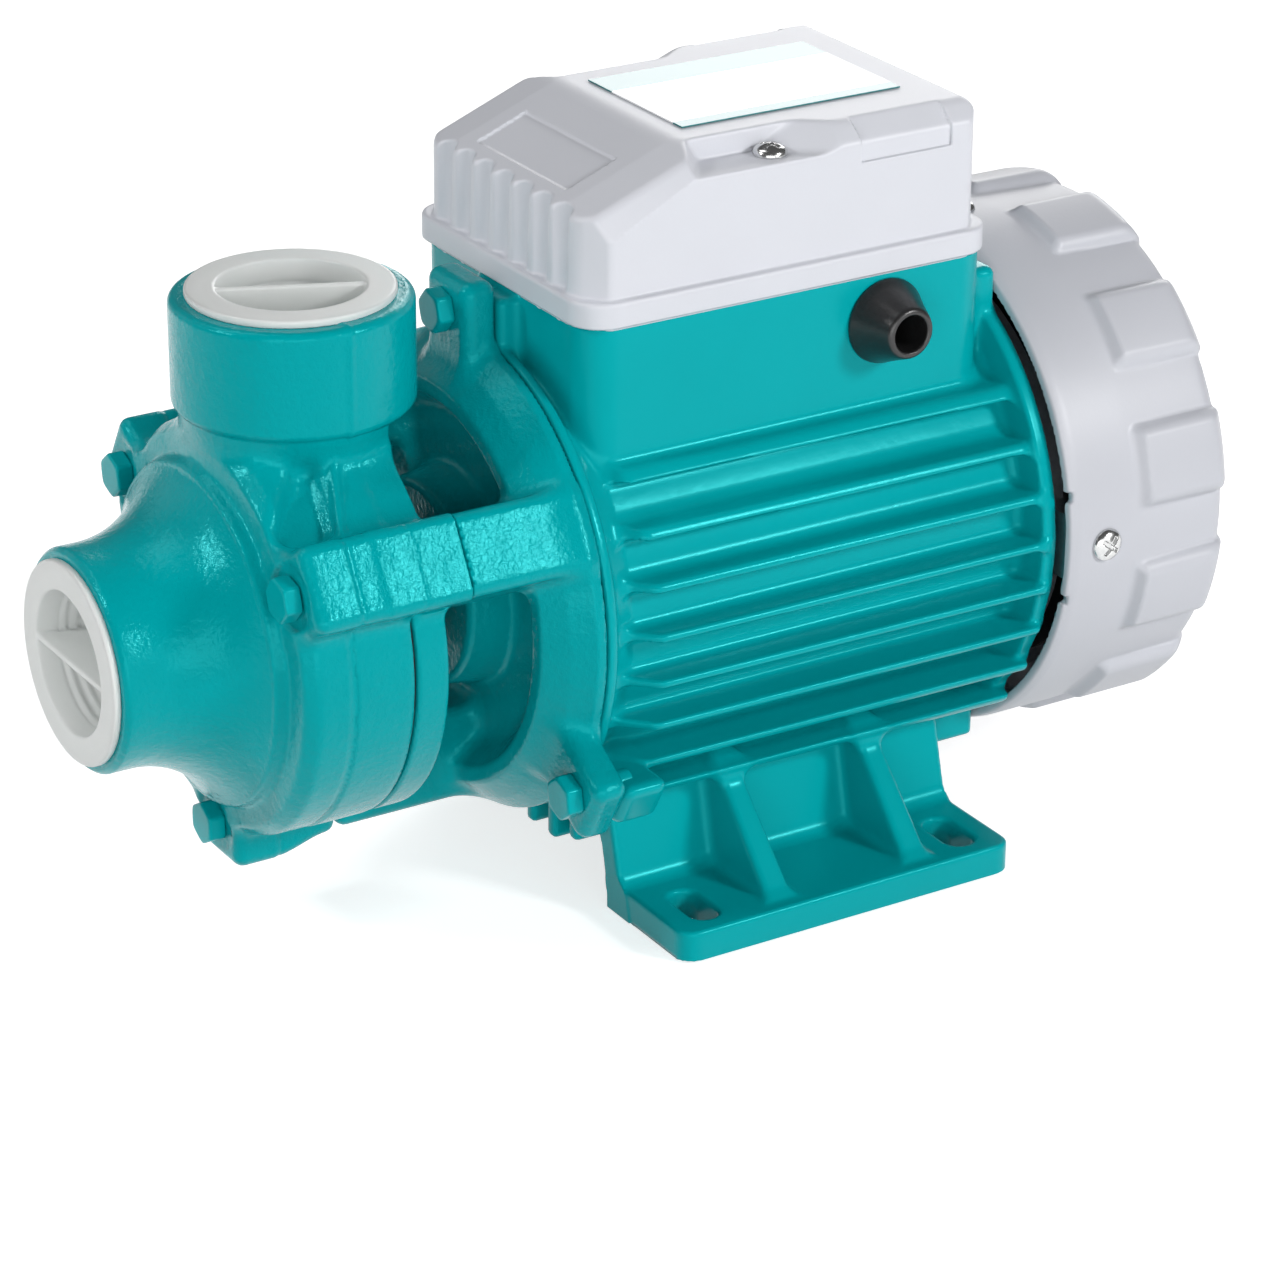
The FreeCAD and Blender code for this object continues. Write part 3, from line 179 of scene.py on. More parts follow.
def shaft_radius(x, z):
    """Distance from the shaft's axis."""
    return length(x, z - SHAFT_Z)


def step01(value, low, high):
    """A smooth step from 0 at low to 1 at high."""
    t = np.clip((value - low) / (high - low), 0, 1)
    return t * t * (3 - 2 * t)


# ---------------------------------------------------------------- meshing

def gradient(field, p, eps=0.12):
    """Which way the field grows at each point, and how fast."""
    x, y, z = p[:, 0], p[:, 1], p[:, 2]
    g = np.empty_like(p)
    g[:, 0] = field(x + eps, y, z) - field(x - eps, y, z)
    g[:, 1] = field(x, y + eps, z) - field(x, y - eps, z)
    g[:, 2] = field(x, y, z + eps) - field(x, y, z - eps)
    return g / (2 * eps)


def surface_points(field, lo, hi, step):
    """A quad mesh of the zero surface: one point per cell that the surface crosses."""
    axes = [np.arange(lo[i] - 1.5 * step[i], hi[i] + 2.5 * step[i], step[i]) for i in range(3)]
    nx, ny, nz = (len(axis) for axis in axes)
    values = np.empty((nx, ny, nz), np.float32)
    chunk = max(1, int(1.5e6 / (ny * nz)))
    for i in range(0, nx, chunk):
        values[i:i + chunk] = field(axes[0][i:i + chunk, None, None], axes[1][None, :, None],
                                    axes[2][None, None, :])
    inside = values < 0
    corners = [(a, b, c) for a in (0, 1) for b in (0, 1) for c in (0, 1)]

    def corner(array, a, b, c):
        return array[a:nx - 1 + a, b:ny - 1 + b, c:nz - 1 + c]

    count = sum(corner(inside, *k).astype(np.uint8) for k in corners)
    cells = np.argwhere((count > 0) & (count < 8))
    index = np.full(count.shape, -1, np.int64)
    index[tuple(cells.T)] = np.arange(len(cells))
    value = {k: corner(values, *k)[tuple(cells.T)] for k in corners}
    total, hits = np.zeros((len(cells), 3)), np.zeros(len(cells))
    for axis in range(3):
        for k in corners:
            if k[axis]:
                continue
            other = tuple(1 if i == axis else k[i] for i in range(3))
            a, b = value[k], value[other]
            cut = (a < 0) != (b < 0)
            t = np.where(cut, a / np.where(cut, a - b, 1), 0)
            for i in range(3):
                total[:, i] += np.where(cut, t if i == axis else k[i], 0)
            hits += cut
    points = cells + total / hits[:, None]
    points = np.stack([axes[i][0] + points[:, i] * step[i] for i in range(3)], 1)
    quads = []
    for axis in range(3):
        u, v = (axis + 1) % 3, (axis + 2) % 3
        low = [slice(1, -1)] * 3
        low[axis] = slice(0, -1)
        high = list(low)
        high[axis] = slice(1, None)
        a, b = inside[tuple(low)], inside[tuple(high)]
        edges = np.argwhere(a != b)
        flip = a[tuple(edges.T)]
        base = edges.copy()
        base[:, u] += 1
        base[:, v] += 1
        ring = []
        for du, dv in ((-1, -1), (0, -1), (0, 0), (-1, 0)):
            cell = base.copy()
            cell[:, u] += du
            cell[:, v] += dv
            ring.append(index[tuple(cell.T)])
        ring = np.stack(ring, 1)
        quads.append(np.where(flip[:, None], ring, ring[:, ::-1]))
    return points, np.concatenate(quads)


def settle(field, points, reach, rounds=4):
    """Moves points onto the surface."""
    start = points.copy()
    for _ in range(rounds):
        g = gradient(field, points)
        d = field(points[:, 0], points[:, 1], points[:, 2])
        move = g * (d / np.maximum((g * g).sum(1), 0.15))[:, None]
        size = np.linalg.norm(move, axis=1)
        points = points - move * np.minimum(1, reach * 0.5 / np.maximum(size, 1e-9))[:, None]
    drift = points - start
    size = np.linalg.norm(drift, axis=1)
    return start + drift * np.minimum(1, reach / np.maximum(size, 1e-9))[:, None]


def set_normals(mesh, field):
    """Shades the mesh with the field's own directions."""
    points = np.empty(len(mesh.vertices) * 3)
    mesh.vertices.foreach_get("co", points)
    g = gradient(field, points.reshape(-1, 3) / MM, 0.2)
    g /= np.maximum(np.linalg.norm(g, axis=1), 1e-9)[:, None]
    mesh.polygons.foreach_set("use_smooth", np.ones(len(mesh.polygons), bool))
    mesh.normals_split_custom_set_from_vertices(g.tolist())


def raw_mesh(name, points, faces):
    """A mesh from points in millimetres."""
    mesh = bpy.data.meshes.new(name)
    mesh.vertices.add(len(points))
    mesh.vertices.foreach_set("co", (points * MM).ravel())
    mesh.loops.add(faces.size)
    mesh.loops.foreach_set("vertex_index", faces.ravel())
    mesh.polygons.add(len(faces))
    mesh.polygons.foreach_set("loop_start", np.arange(len(faces)) * faces.shape[1])
    mesh.update(calc_edges=True)
    mesh.validate()
    return mesh


def link(name, data):
    obj = bpy.data.objects.new(name, data)
    bpy.context.scene.collection.objects.link(obj)
    return obj


def sculpt(name, field, lo, hi, step):
    """A solid from its distance field, between two corners, meshed with cells of this size."""
    step = np.array(step if hasattr(step, "__len__") else (step,) * 3, float)
    points, quads = surface_points(field, lo, hi, step)
    points = settle(field, points, float(step.max()))
    obj = link(name, raw_mesh(name, points, quads))
    triangles = 2 * len(quads)
    if triangles > MOST_TRIANGLES:
        modifier = obj.modifiers.new("fewer", "DECIMATE")
        modifier.ratio = MOST_TRIANGLES / triangles
        graph = bpy.context.evaluated_depsgraph_get()
        fewer = bpy.data.meshes.new_from_object(obj.evaluated_get(graph))
        obj.modifiers.clear()
        obj.data = fewer
    set_normals(obj.data, field)
    return obj


# ---------------------------------------------------------------- materials

def linear(code):
    """A hex colour as linear RGBA."""
    out = []
    for i in (0, 2, 4):
        c = int(code[i:i + 2], 16) / 255
        out.append(c / 12.92 if c <= 0.04045 else ((c + 0.055) / 1.055) ** 2.4)
    return (*out, 1.0)


def add(tree, kind, inputs=None, **settings):
    """Adds a node with its settings, and sets or links its inputs."""
    node = tree.nodes.new(kind)
    for key, value in settings.items():
        setattr(node, key, value)
    for key, value in (inputs or {}).items():
        if isinstance(value, bpy.types.NodeSocket):
            tree.links.new(value, node.inputs[key])
        else:
            node.inputs[key].default_value = value
    return node


def blank_material(name):
    """A material with an empty tree, and the place on the piece that its patterns follow."""
    material = bpy.data.materials.new(name)
    material.use_nodes = True
    material.node_tree.nodes.clear()
    return material, material.node_tree, add(material.node_tree, "ShaderNodeTexCoord").outputs["Object"]


def surface(tree, inputs):
    """Puts the shader on the material's output."""
    shader = add(tree, "ShaderNodeBsdfPrincipled", inputs)
    add(tree, "ShaderNodeOutputMaterial", {"Surface": shader.outputs["BSDF"]})


# Patterns are sized in millimetres: a noise of scale 1000 / d has features about d mm across.

def enamel_on_cast_iron():
    """Thick teal enamel over sand-cast iron. The sand grain, about 0.8 mm, breaks each highlight into glints,
    and slow swells from the mould bend it."""
    material, t, place = blank_material("enamel_on_cast_iron")
    cloud = add(t, "ShaderNodeTexNoise", {"Vector": place, "Scale": 1000 / 24, "Detail": 3.0})
    swell = add(t, "ShaderNodeTexNoise", {"Vector": place, "Scale": 1000 / 5.5, "Detail": 2.0})
    grain = add(t, "ShaderNodeTexNoise", {"Vector": place, "Scale": 1000 / 1.1, "Detail": 3.0, "Roughness": 0.6})
    color = add(t, "ShaderNodeMix", {"Factor": cloud.outputs["Fac"], 6: linear("00989E"), 7: linear("00A0A6")},
                data_type="RGBA")
    gloss = add(t, "ShaderNodeMapRange", {"Value": grain.outputs["Fac"], "To Min": 0.14, "To Max": 0.24})
    lumps = add(t, "ShaderNodeBump", {"Height": swell.outputs["Fac"], "Distance": 0.35 * MM, "Strength": 0.7})
    pits = add(t, "ShaderNodeBump", {"Height": grain.outputs["Fac"], "Distance": 0.20 * MM, "Strength": 0.75,
                                     "Normal": lumps.outputs["Normal"]})
    surface(t, {"Base Color": color.outputs[2], "Roughness": gloss.outputs["Result"], "IOR": 1.43,
                "Specular Tint": linear("50F0F0"), "Normal": pits.outputs["Normal"]})
    return material


def enamel_on_die_casting():
    """The same teal enamel over a smooth die casting: long clean highlights with a faint orange peel."""
    material, t, place = blank_material("enamel_on_die_casting")
    cloud = add(t, "ShaderNodeTexNoise", {"Vector": place, "Scale": 1000 / 30, "Detail": 2.0})
    peel = add(t, "ShaderNodeTexNoise", {"Vector": place, "Scale": 1000 / 2.2, "Detail": 2.0})
    color = add(t, "ShaderNodeMix", {"Factor": cloud.outputs["Fac"], 6: linear("009CA2"), 7: linear("00A5AB")},
                data_type="RGBA")
    gloss = add(t, "ShaderNodeMapRange", {"Value": peel.outputs["Fac"], "To Min": 0.20, "To Max": 0.28})
    skin = add(t, "ShaderNodeBump", {"Height": peel.outputs["Fac"], "Distance": 0.05 * MM, "Strength": 0.6})
    surface(t, {"Base Color": color.outputs[2], "Roughness": gloss.outputs["Result"], "IOR": 1.43,
                "Specular Tint": linear("50F0F0"), "Normal": skin.outputs["Normal"]})
    return material


def moulded_abs():
    """Light grey moulded ABS. The spark-eroded grain, drawn at 0.6 mm so that it shows, gives a soft satin
    sheen."""
    material, t, place = blank_material("moulded_abs")
    cloud = add(t, "ShaderNodeTexNoise", {"Vector": place, "Scale": 1000 / 26, "Detail": 2.0})
    grain = add(t, "ShaderNodeTexNoise", {"Vector": place, "Scale": 1000 / 0.6, "Detail": 2.0})
    color = add(t, "ShaderNodeMix", {"Factor": cloud.outputs["Fac"], 6: linear("D0D2D9"), 7: linear("D7D9E0")},
                data_type="RGBA")
    satin = add(t, "ShaderNodeMapRange", {"Value": grain.outputs["Fac"], "To Min": 0.34, "To Max": 0.46})
    skin = add(t, "ShaderNodeBump", {"Height": grain.outputs["Fac"], "Distance": 0.03 * MM, "Strength": 0.45})
    surface(t, {"Base Color": color.outputs[2], "Roughness": satin.outputs["Result"], "IOR": 1.5,
                "Normal": skin.outputs["Normal"]})
    return material


def polypropylene_with_painted_shade():
    """Grey moulded polypropylene, as fan covers are, waxier than the lid and with a coarser grain. Its grey is
    set a shade darker than the lid's as painted shade, for the dimmer light on the cowl."""
    material, t, place = blank_material("polypropylene_with_painted_shade")
    cloud = add(t, "ShaderNodeTexNoise", {"Vector": place, "Scale": 1000 / 32, "Detail": 2.0})
    grain = add(t, "ShaderNodeTexNoise", {"Vector": place, "Scale": 1000 / 0.9, "Detail": 2.0})
    color = add(t, "ShaderNodeMix", {"Factor": cloud.outputs["Fac"], 6: linear("BFC1C8"), 7: linear("C6C8CF")},
                data_type="RGBA")
    skin = add(t, "ShaderNodeBump", {"Height": grain.outputs["Fac"], "Distance": 0.04 * MM, "Strength": 0.45})
    surface(t, {"Base Color": color.outputs[2], "Roughness": 0.4, "IOR": 1.49, "Normal": skin.outputs["Normal"]})
    return material


def milky_polyethylene():
    """Milky low-density polyethylene, as transit plugs are moulded in: light goes a little way in, so thin walls
    take the colour of the casting behind them."""
    material, t, place = blank_material("milky_polyethylene")
    cloud = add(t, "ShaderNodeTexNoise", {"Vector": place, "Scale": 1000 / 9, "Detail": 2.0})
    skin = add(t, "ShaderNodeTexNoise", {"Vector": place, "Scale": 1000 / 1.6, "Detail": 2.0})
    color = add(t, "ShaderNodeMix", {"Factor": cloud.outputs["Fac"], 6: linear("F4F8F6"), 7: linear("FAFCFB")},
                data_type="RGBA")
    bump = add(t, "ShaderNodeBump", {"Height": skin.outputs["Fac"], "Distance": 0.04 * MM, "Strength": 0.4})
    surface(t, {"Base Color": color.outputs[2], "Roughness": 0.34, "IOR": 1.5, "Transmission Weight": 0.28,
                "Normal": bump.outputs["Normal"]})
    return material


def black_epdm():
    """Black EPDM rubber: nearly matte, with a dull gloss along its rolled edges."""
    material, t, place = blank_material("black_epdm")
    grain = add(t, "ShaderNodeTexNoise", {"Vector": place, "Scale": 1000 / 0.9, "Detail": 3.0})
    color = add(t, "ShaderNodeMix", {"Factor": grain.outputs["Fac"], 6: linear("19191A"), 7: linear("262627")},
                data_type="RGBA")
    bump = add(t, "ShaderNodeBump", {"Height": grain.outputs["Fac"], "Distance": 0.07 * MM, "Strength": 0.5})
    surface(t, {"Base Color": color.outputs[2], "Roughness": 0.33, "IOR": 1.6, "Normal": bump.outputs["Normal"]})
    return material


def bright_zinc():
    """Bright zinc plate on pressed screws: a mirror broken up by the forming marks."""
    material, t, place = blank_material("bright_zinc")
    marks = add(t, "ShaderNodeTexNoise", {"Vector": place, "Scale": 1000 / 0.8, "Detail": 2.0})
    color = add(t, "ShaderNodeMix", {"Factor": marks.outputs["Fac"], 6: linear("C4C5C6"), 7: linear("E2E2E1")},
                data_type="RGBA")
    bump = add(t, "ShaderNodeBump", {"Height": marks.outputs["Fac"], "Distance": 0.03 * MM, "Strength": 0.4})
    surface(t, {"Base Color": color.outputs[2], "Metallic": 1.0, "Roughness": 0.2,
                "Normal": bump.outputs["Normal"]})
    return material


def printed_film():
    """A printed polyester label, left blank: a pale field between a broad and a narrow teal band, under gloss
    film."""
    material, t, place = blank_material("printed_film")
    parts = add(t, "ShaderNodeSeparateXYZ", {"Vector": place})
    broad = add(t, "ShaderNodeMath", {0: parts.outputs["X"], 1: -0.0085}, operation="LESS_THAN")
    narrow = add(t, "ShaderNodeMath", {0: parts.outputs["X"], 1: 0.0142}, operation="GREATER_THAN")
    band = add(t, "ShaderNodeMath", {0: broad.outputs[0], 1: narrow.outputs[0]}, operation="MAXIMUM")
    paper = add(t, "ShaderNodeTexNoise", {"Vector": place, "Scale": 1000 / 14, "Detail": 1.0})
    field = add(t, "ShaderNodeMix", {"Factor": paper.outputs["Fac"], 6: linear("F5F7F8"), 7: linear("FAFBFC")},
                data_type="RGBA")
    color = add(t, "ShaderNodeMix", {"Factor": band.outputs[0], 6: field.outputs[2], 7: linear("0A7478")},
                data_type="RGBA")
    ripple = add(t, "ShaderNodeTexNoise", {"Vector": place, "Scale": 1000 / 6, "Detail": 1.0})
    bump = add(t, "ShaderNodeBump", {"Height": ripple.outputs["Fac"], "Distance": 0.03 * MM, "Strength": 0.4})
    surface(t, {"Base Color": color.outputs[2], "Roughness": 0.28, "IOR": 1.5, "Coat Weight": 0.3,
                "Normal": bump.outputs["Normal"]})
    return material


def worked_surface(name, low, high, roughness, metallic, grain_mm, depth_mm):
    """A surface of one stuff, clouded between two shades, whose grain is as coarse as the way it was made."""
    material, t, place = blank_material(name)
    grain = add(t, "ShaderNodeTexNoise", {"Vector": place, "Scale": 1000 / grain_mm, "Detail": 3.0})
    color = add(t, "ShaderNodeMix", {"Factor": grain.outputs["Fac"], 6: linear(low), 7: linear(high)},
                data_type="RGBA")
    bump = add(t, "ShaderNodeBump", {"Height": grain.outputs["Fac"], "Distance": depth_mm * MM, "Strength": 0.5})
    surface(t, {"Base Color": color.outputs[2], "Metallic": metallic, "Roughness": roughness,
                "Normal": bump.outputs["Normal"]})
    return material


CAST = enamel_on_cast_iron()
DIE_CAST = enamel_on_die_casting()
PLASTIC = moulded_abs()
# the fan cover's plastic carries painted shade: its grey is a shade darker than the lid's
COWL_PLASTIC = polypropylene_with_painted_shade()
PLUG = milky_polyethylene()
RUBBER = black_epdm()
ZINC = bright_zinc()
LABEL = printed_film()


def finish_piece(obj, node, body, material):
    """Gives a piece its finish and puts it in place of its CAD node."""
    obj.data.materials.clear()
    obj.data.materials.append(material)
    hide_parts(node)
    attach(obj, body)
    return obj


# ---------------------------------------------------------------- pump casing

COLLAR_Y = -91.3
COLLAR_TOP = 131.3
COLLAR_LOW = 109.5


def casing_outline():
    """Half section of the casing: the trumpet-shaped nozzle with its round throat, and the ring behind it."""
    flare = [(-134.0 + 22.7 * math.sin(math.radians(a)), 45.0 - 22.7 * math.cos(math.radians(a)))
             for a in np.linspace(0, 59, 15)]
    return Outline([(-139.4, -6.0), (-139.4, 21.4, 0.5), (-138.4, 22.3, 0.6)] + [tuple(p) for p in flare]
                   + [(-114.4, 34.2, 1.5), (-111.7, 34.9, 1.2), (-111.2, 39.4, 1.8), (-108.6, 41.5, 2.6),
                      (-88.3, 41.5, 0.5), (-88.3, -6.0)])


CASING_PROFILE = casing_outline()


def casing_field(x, y, z):
    """The front casing: nozzle and ring, collar and neck, three lugs, both ports and the chamber."""
    zz = z - SHAFT_Z
    near = np.abs(x)
    radius = shaft_radius(x, z)
    body = CASING_PROFILE(y, radius)
    # rear cap between the upper lugs
    cap = smax(rod(x, zz, y, 41.5, -96.0, -80.8, 0.8), 24.8 - zz, 1.0)
    cap = np.maximum(cap, near - 36.0)
    body = smin(body, cap, 0.8)
    # the mould's parting line round the ring, with its slight step
    body = body + 0.36 * np.exp(-((y + 101.3) / 0.55) ** 2) * step01(radius, 39.5, 41.0)
    body = body - 0.18 * step01(y, -101.2, -100.6) * step01(radius, 40.0, 41.0) * step01(-y, 88.5, 90)
    # collar and neck
    ax, ay = x, y - COLLAR_Y
    rho = length(ax, ay)
    seam = 0.28 * np.exp(-(ay / 0.8) ** 2) * step01(x, 4, 14)
    half_step = 0.22 * step01(ay, -0.6, 0.6)
    collar = rod(ax, ay, z, 23.5, COLLAR_LOW, COLLAR_TOP, 1.5) - (seam + half_step) * 0.9
    neck_r = 19.3 + 2.9 * step01(z, 102.0, 109.5)
    neck = np.maximum(rho - neck_r, slab(z, SHAFT_Z + 20, COLLAR_LOW + 3))
    neck = smax(neck, y + 80.8, 1.0)
    body = smin(body, neck, 6.0)
    body = smin(body, collar, 0.7)
    # the hollow beside the neck, with the parting rib that runs down behind it
    hollow = cone_capsule(near, y, z, (19.5, -99.5, 101.5), (28.0, -103.6, 95.5), 2.0, 5.4)
    body = smax(body, -np.maximum(hollow, 38.2 - radius), 4.0)
    rib = np.minimum(cone_capsule(near, y, z, (16.2, -92.0, 107.6), (23.4, -94.9, 100.4), 0.6, 0.6),
                     cone_capsule(near, y, z, (23.4, -94.9, 100.4), (30.4, -97.8, 94.0), 0.6, 0.6))
    body = smin(body, rib, 1.4)
    lugs = None
    for angle in LUG_ANGLES:
        tail = -77.9 if angle != 270 else -88.3
        out, across = polar(x, z, angle)
        lower = LOW_LUG_DROP * step01(y, -101.8, -90.0) if angle == 270 else 0.0
        lug = rbox(out + lower, across, y, (24, -8.5, -110.8), (49.0, 8.5, -88.3), 2.4)
        lug = lug + 0.16 * np.exp(-((y + 101.3) / 0.55) ** 2) + 0.12 * step01(y, -101.5, -101.1)
        if angle != 270:
            rear = smax(rbox(out, across, y, (40.5, -8.5, -97), (49.0, 8.5, -70), 2.2), y - tail, 0.15)
            lug = smin(lug, rear, 0.6)
            lug = lug + 0.12 * np.exp(-((y + 87.8) / 0.5) ** 2)
        lugs = lug if lugs is None else np.minimum(lugs, lug)
    body = smin(body, lugs, 3.2)
    # spot faces for the bolt heads
    for angle in LUG_ANGLES:
        out, across = polar(x, z, angle)
        spot = rod(out - LUG_BOLT_CIRCLE, across, y, 6.2, -125.0, -110.9, 0.5)
        body = smax(body, -spot, 1.2)
    # ports and chamber
    bore = np.minimum(rod(x, zz, y, 17.1, -150, -128.4, 0.3), rod(x, zz, y, 15.15, -140, -112, 0.3))
    body = smax(body, -bore, 0.6)
    top = np.minimum(rod(ax, ay, z, 17.1, 120.3, 150, 0.3), rod(ax, ay, z, 15.15, 111.3, 150, 0.3))
    body = smax(body, -top, 0.6)
    body = np.maximum(body, -rod(x, zz, y, 33.0, -106, -80, 0.3))
    return np.maximum(body, -139.4 - y)


def bracket_outlines():
    """Half sections of the bracket's ring and of its bell-shaped motor flange."""
    ring = Outline([(-94, 14), (-94, 32.8), (-87.7, 32.8), (-87.7, 41.5, 0.5), (-80.8, 41.5, 0.8), (-80.8, 19),
                    (-72.5, 18, 0.8), (-72.5, 8.2), (-75.5, 8.2), (-75.5, 14)])
    bell = Outline([(-61.3, 38.8, 0.9), (-61.3, 42.0, 1.2), (-57.0, 46.0, 4.0), (-52.6, 49.2, 1.0),
                    (-50.5, 49.2, 0.4), (-50.5, 41.3), (-47.6, 41.3), (-47.6, 38.3), (-50.4, 38.3), (-50.4, 17.5),
                    (-62, 17.5), (-62, 9), (-65, 9), (-65, 21, 1.5), (-55.4, 22.5, 2.0), (-55.4, 34.0, 4.0)])
    return ring, bell


BRACKET_RING, BRACKET_BELL = bracket_outlines()


def bracket_field(x, y, z):
    """The bracket: ring, three legs, bell and three ears."""
    zz = z - SHAFT_Z
    radius = shaft_radius(x, z)
    ring = BRACKET_RING(y, radius)
    bell = BRACKET_BELL(y, radius)
    for angle in EAR_ANGLES:
        out, across = polar(x, z, angle)
        ear = rbox(out, across, y, (40.5, -8.0, -58.0), (63.0, 8.0, -50.5), 2.6)
        bell = smin(bell, ear, 3.5)
    body = ring
    for angle in LUG_ANGLES:
        out, across = polar(x, z, angle)
        lower, half = (LOW_LUG_DROP, 7.5) if angle == 270 else (0.0, 8.2)
        leg = rbox(out + lower, across, y, (29, -half, -87.7), (49.0, half, -51.5), 2.4)
        body = smin(body, leg, 3.0)
    body = smin(body, bell, 4.0)
    cap = np.maximum(np.maximum(np.abs(x) - 36.2, 24.6 - zz), y + 80.7)
    cap = np.maximum(cap, -(rod(x, zz, y, 33.0, -96, -79, 0.2)))
    body = np.maximum(body, -cap)
    for angle in LUG_ANGLES[:2]:
        out, across = polar(x, z, angle)
        tail = rbox(out, across, y, (41.3, -8.8, -100), (52, 8.8, -77.75), 0.3)
        body = np.maximum(body, -tail)
    return body


# ---------------------------------------------------------------- motor housing

def housing_field(x, y, z):
    """The motor body: finned barrel, bosses, lower walls of the terminal box and both feet."""
    zz = z - SHAFT_Z
    radius = shaft_radius(x, z)
    near = np.abs(x)
    barrel = HOUSING_PROFILE(y, radius)
    # side fins, whose tips lean out towards the rear
    fan_out = length(x, zz + 5.0)
    tip = 50.9 + (52.0 - 50.9) * (y + 38.0) / 91.5
    front = (y + 45.2) * 0.71 - (fan_out - 44.5) * 0.71
    back = (53.6 - y) * 0.9 - (fan_out - 49.5) * 0.36
    fins = None
    for index in range(-4, 4):
        centre = zz - 0.8 - index * FIN_PITCH
        thick = 1.35 - 0.5 * np.clip((near - 34) / 17.0, 0, 1)
        fin = smax(np.abs(centre) - thick, fan_out - tip, 0.9)
        fins = fin if fins is None else np.minimum(fins, fin)
    fins = smax(smax(fins, -front, 0.9), -back, 0.9)
    fins = smax(fins, 22.0 - near, 0.5)
    low_fins = None
    for index in (1, 2, 3):
        floor = 10.2 if index < 3 else 13.2
        fin = rbox(near, y, z, (index * 8.4 - 1.6, -44.3, floor), (index * 8.4 + 1.6, 53.7, SHAFT_Z - 25), 1.2)
        low_fins = fin if low_fins is None else np.minimum(low_fins, fin)
    body = smin(barrel, np.minimum(fins, low_fins), 2.2)
    # bosses behind the ears
    for angle in EAR_ANGLES[1:]:
        out, across = polar(x, z, angle)
        boss = rbox(out, across, y, (38, -7.4, -50.1), (62.0, 7.4, -39.5), 2.6)
        boss = smax(boss, z - 38.5, 3.0)
        body = smin(body, boss, 2.4)
    top_boss = rbox(x, y, z, (-7.6, -50.1, SHAFT_Z + 40), (7.6, -42, 124.0), 1.6)
    body = smin(body, top_boss, 1.6)
    # terminal box
    plan = rbox(x, y, z, (-33, -45.3, SHAFT_Z + 22), (33, 48.7, 132.6), 7.0)
    box_body = smax(plan, z - 124.6, 0.6)
    rear = rbox(x, y, z, (-27, 40, SHAFT_Z + 30), (27, 54.9, 118), 2.0)
    body = smin(smin(body, rear, 1.5), box_body, 2.2)
    cavity = rbox(x, y, z, (-30, -42.3, 110.6), (30, 45.7, 135), 4.5)
    body = smax(body, -cavity, 0.8)
    body = np.minimum(body, rod(near - LID_SCREW_X, y - LID_SCREW_Y, z, 4.4, 109, 124.5, 0.4))
    # feet
    wall = smax((near - 38.8) * 0.965 + z * 0.262, (32.3 - near) * 0.973 - z * 0.229, 1.6)
    wall = smax(smax(wall, np.abs(y) - 40.0, 1.2), slab(z, -9, 36), 0.8)
    plate = rbox(near, y, z, (33.0, -40.0, -9.0), (61.4, 40.0, 6.5), 1.1)
    corner = rbox(near, y, z, (20.0, -40.0, -20.0), (61.4, 40.0, 20.0), 4.5)
    foot = smin(smax(plate, corner, 0.8), wall, 3.0)
    for centre in (-14.8, 18.3):
        side = np.abs(y - centre) - (3.1 - 0.7 * np.clip((z - 6) / 30, 0, 1))
        slope = (near - 57.5) * 0.72 + (z - 6.5) * 0.69
        gusset = smax(smax(side, slope, 1.6), smax(near - 57.0, 20 - near, 0.5), 0.5)
        gusset = smax(gusset, slab(z, 3, 33), 0.5)
        foot = smin(foot, gusset, 2.2)
    slot = None
    for centre in (-FOOT_SLOT_Y, FOOT_SLOT_Y):
        reach = np.maximum(np.abs(near - FOOT_SLOT_X) - 3.25, 0)
        hole = length(reach, y - centre) - 3.25
        slot = hole if slot is None else np.minimum(slot, hole)
    foot = smax(foot, -slot, 1.0)
    foot = np.maximum(np.maximum(foot, np.abs(y) - 40.0), near - 61.4)
    body = smin(body, foot, 3.5)
    # inside of the barrel
    body = np.maximum(body, -rod(x, zz, y, 41.4, -70, 80, 0.2))
    gland = rod(y - GLAND_Y, z - GLAND_Z, x, 6.0, 28, 36, 0.2)
    return np.maximum(np.maximum(body, -gland), 0.002 - z)


HOUSING_PROFILE = Outline([(-50.1, 38.0), (-50.1, 49.2, 0.6), (-48.2, 49.2, 1.0), (-46.3, 45.8, 2.0),
                           (-42.0, 44.0, 3.0), (50.6, 44.0, 2.0), (51.4, 51.2, 0.8), (54.8, 51.2, 0.8),
                           (54.8, 38.0)])


# ---------------------------------------------------------------- fan cover

COWL_PROFILE = Outline([(55.2, 53.2), (55.2, 55.0, 0.7), (57.4, 55.4, 1.0), (71.0, 55.4, 2.0), (94.0, 54.8, 4.0),
                        (96.6, 50.6, 2.0), (96.9, -6.0), (94.5, -6.0), (94.5, 50.0, 2.0), (92.0, 52.6)])
PANEL_PROFILE = Outline([(71.8, 52.0), (72.2, 55.2, 0.6), (74.3, 57.5, 0.9), (92.6, 57.4, 4.0), (96.4, 53.2, 1.5),
                         (94.0, 50.0)])


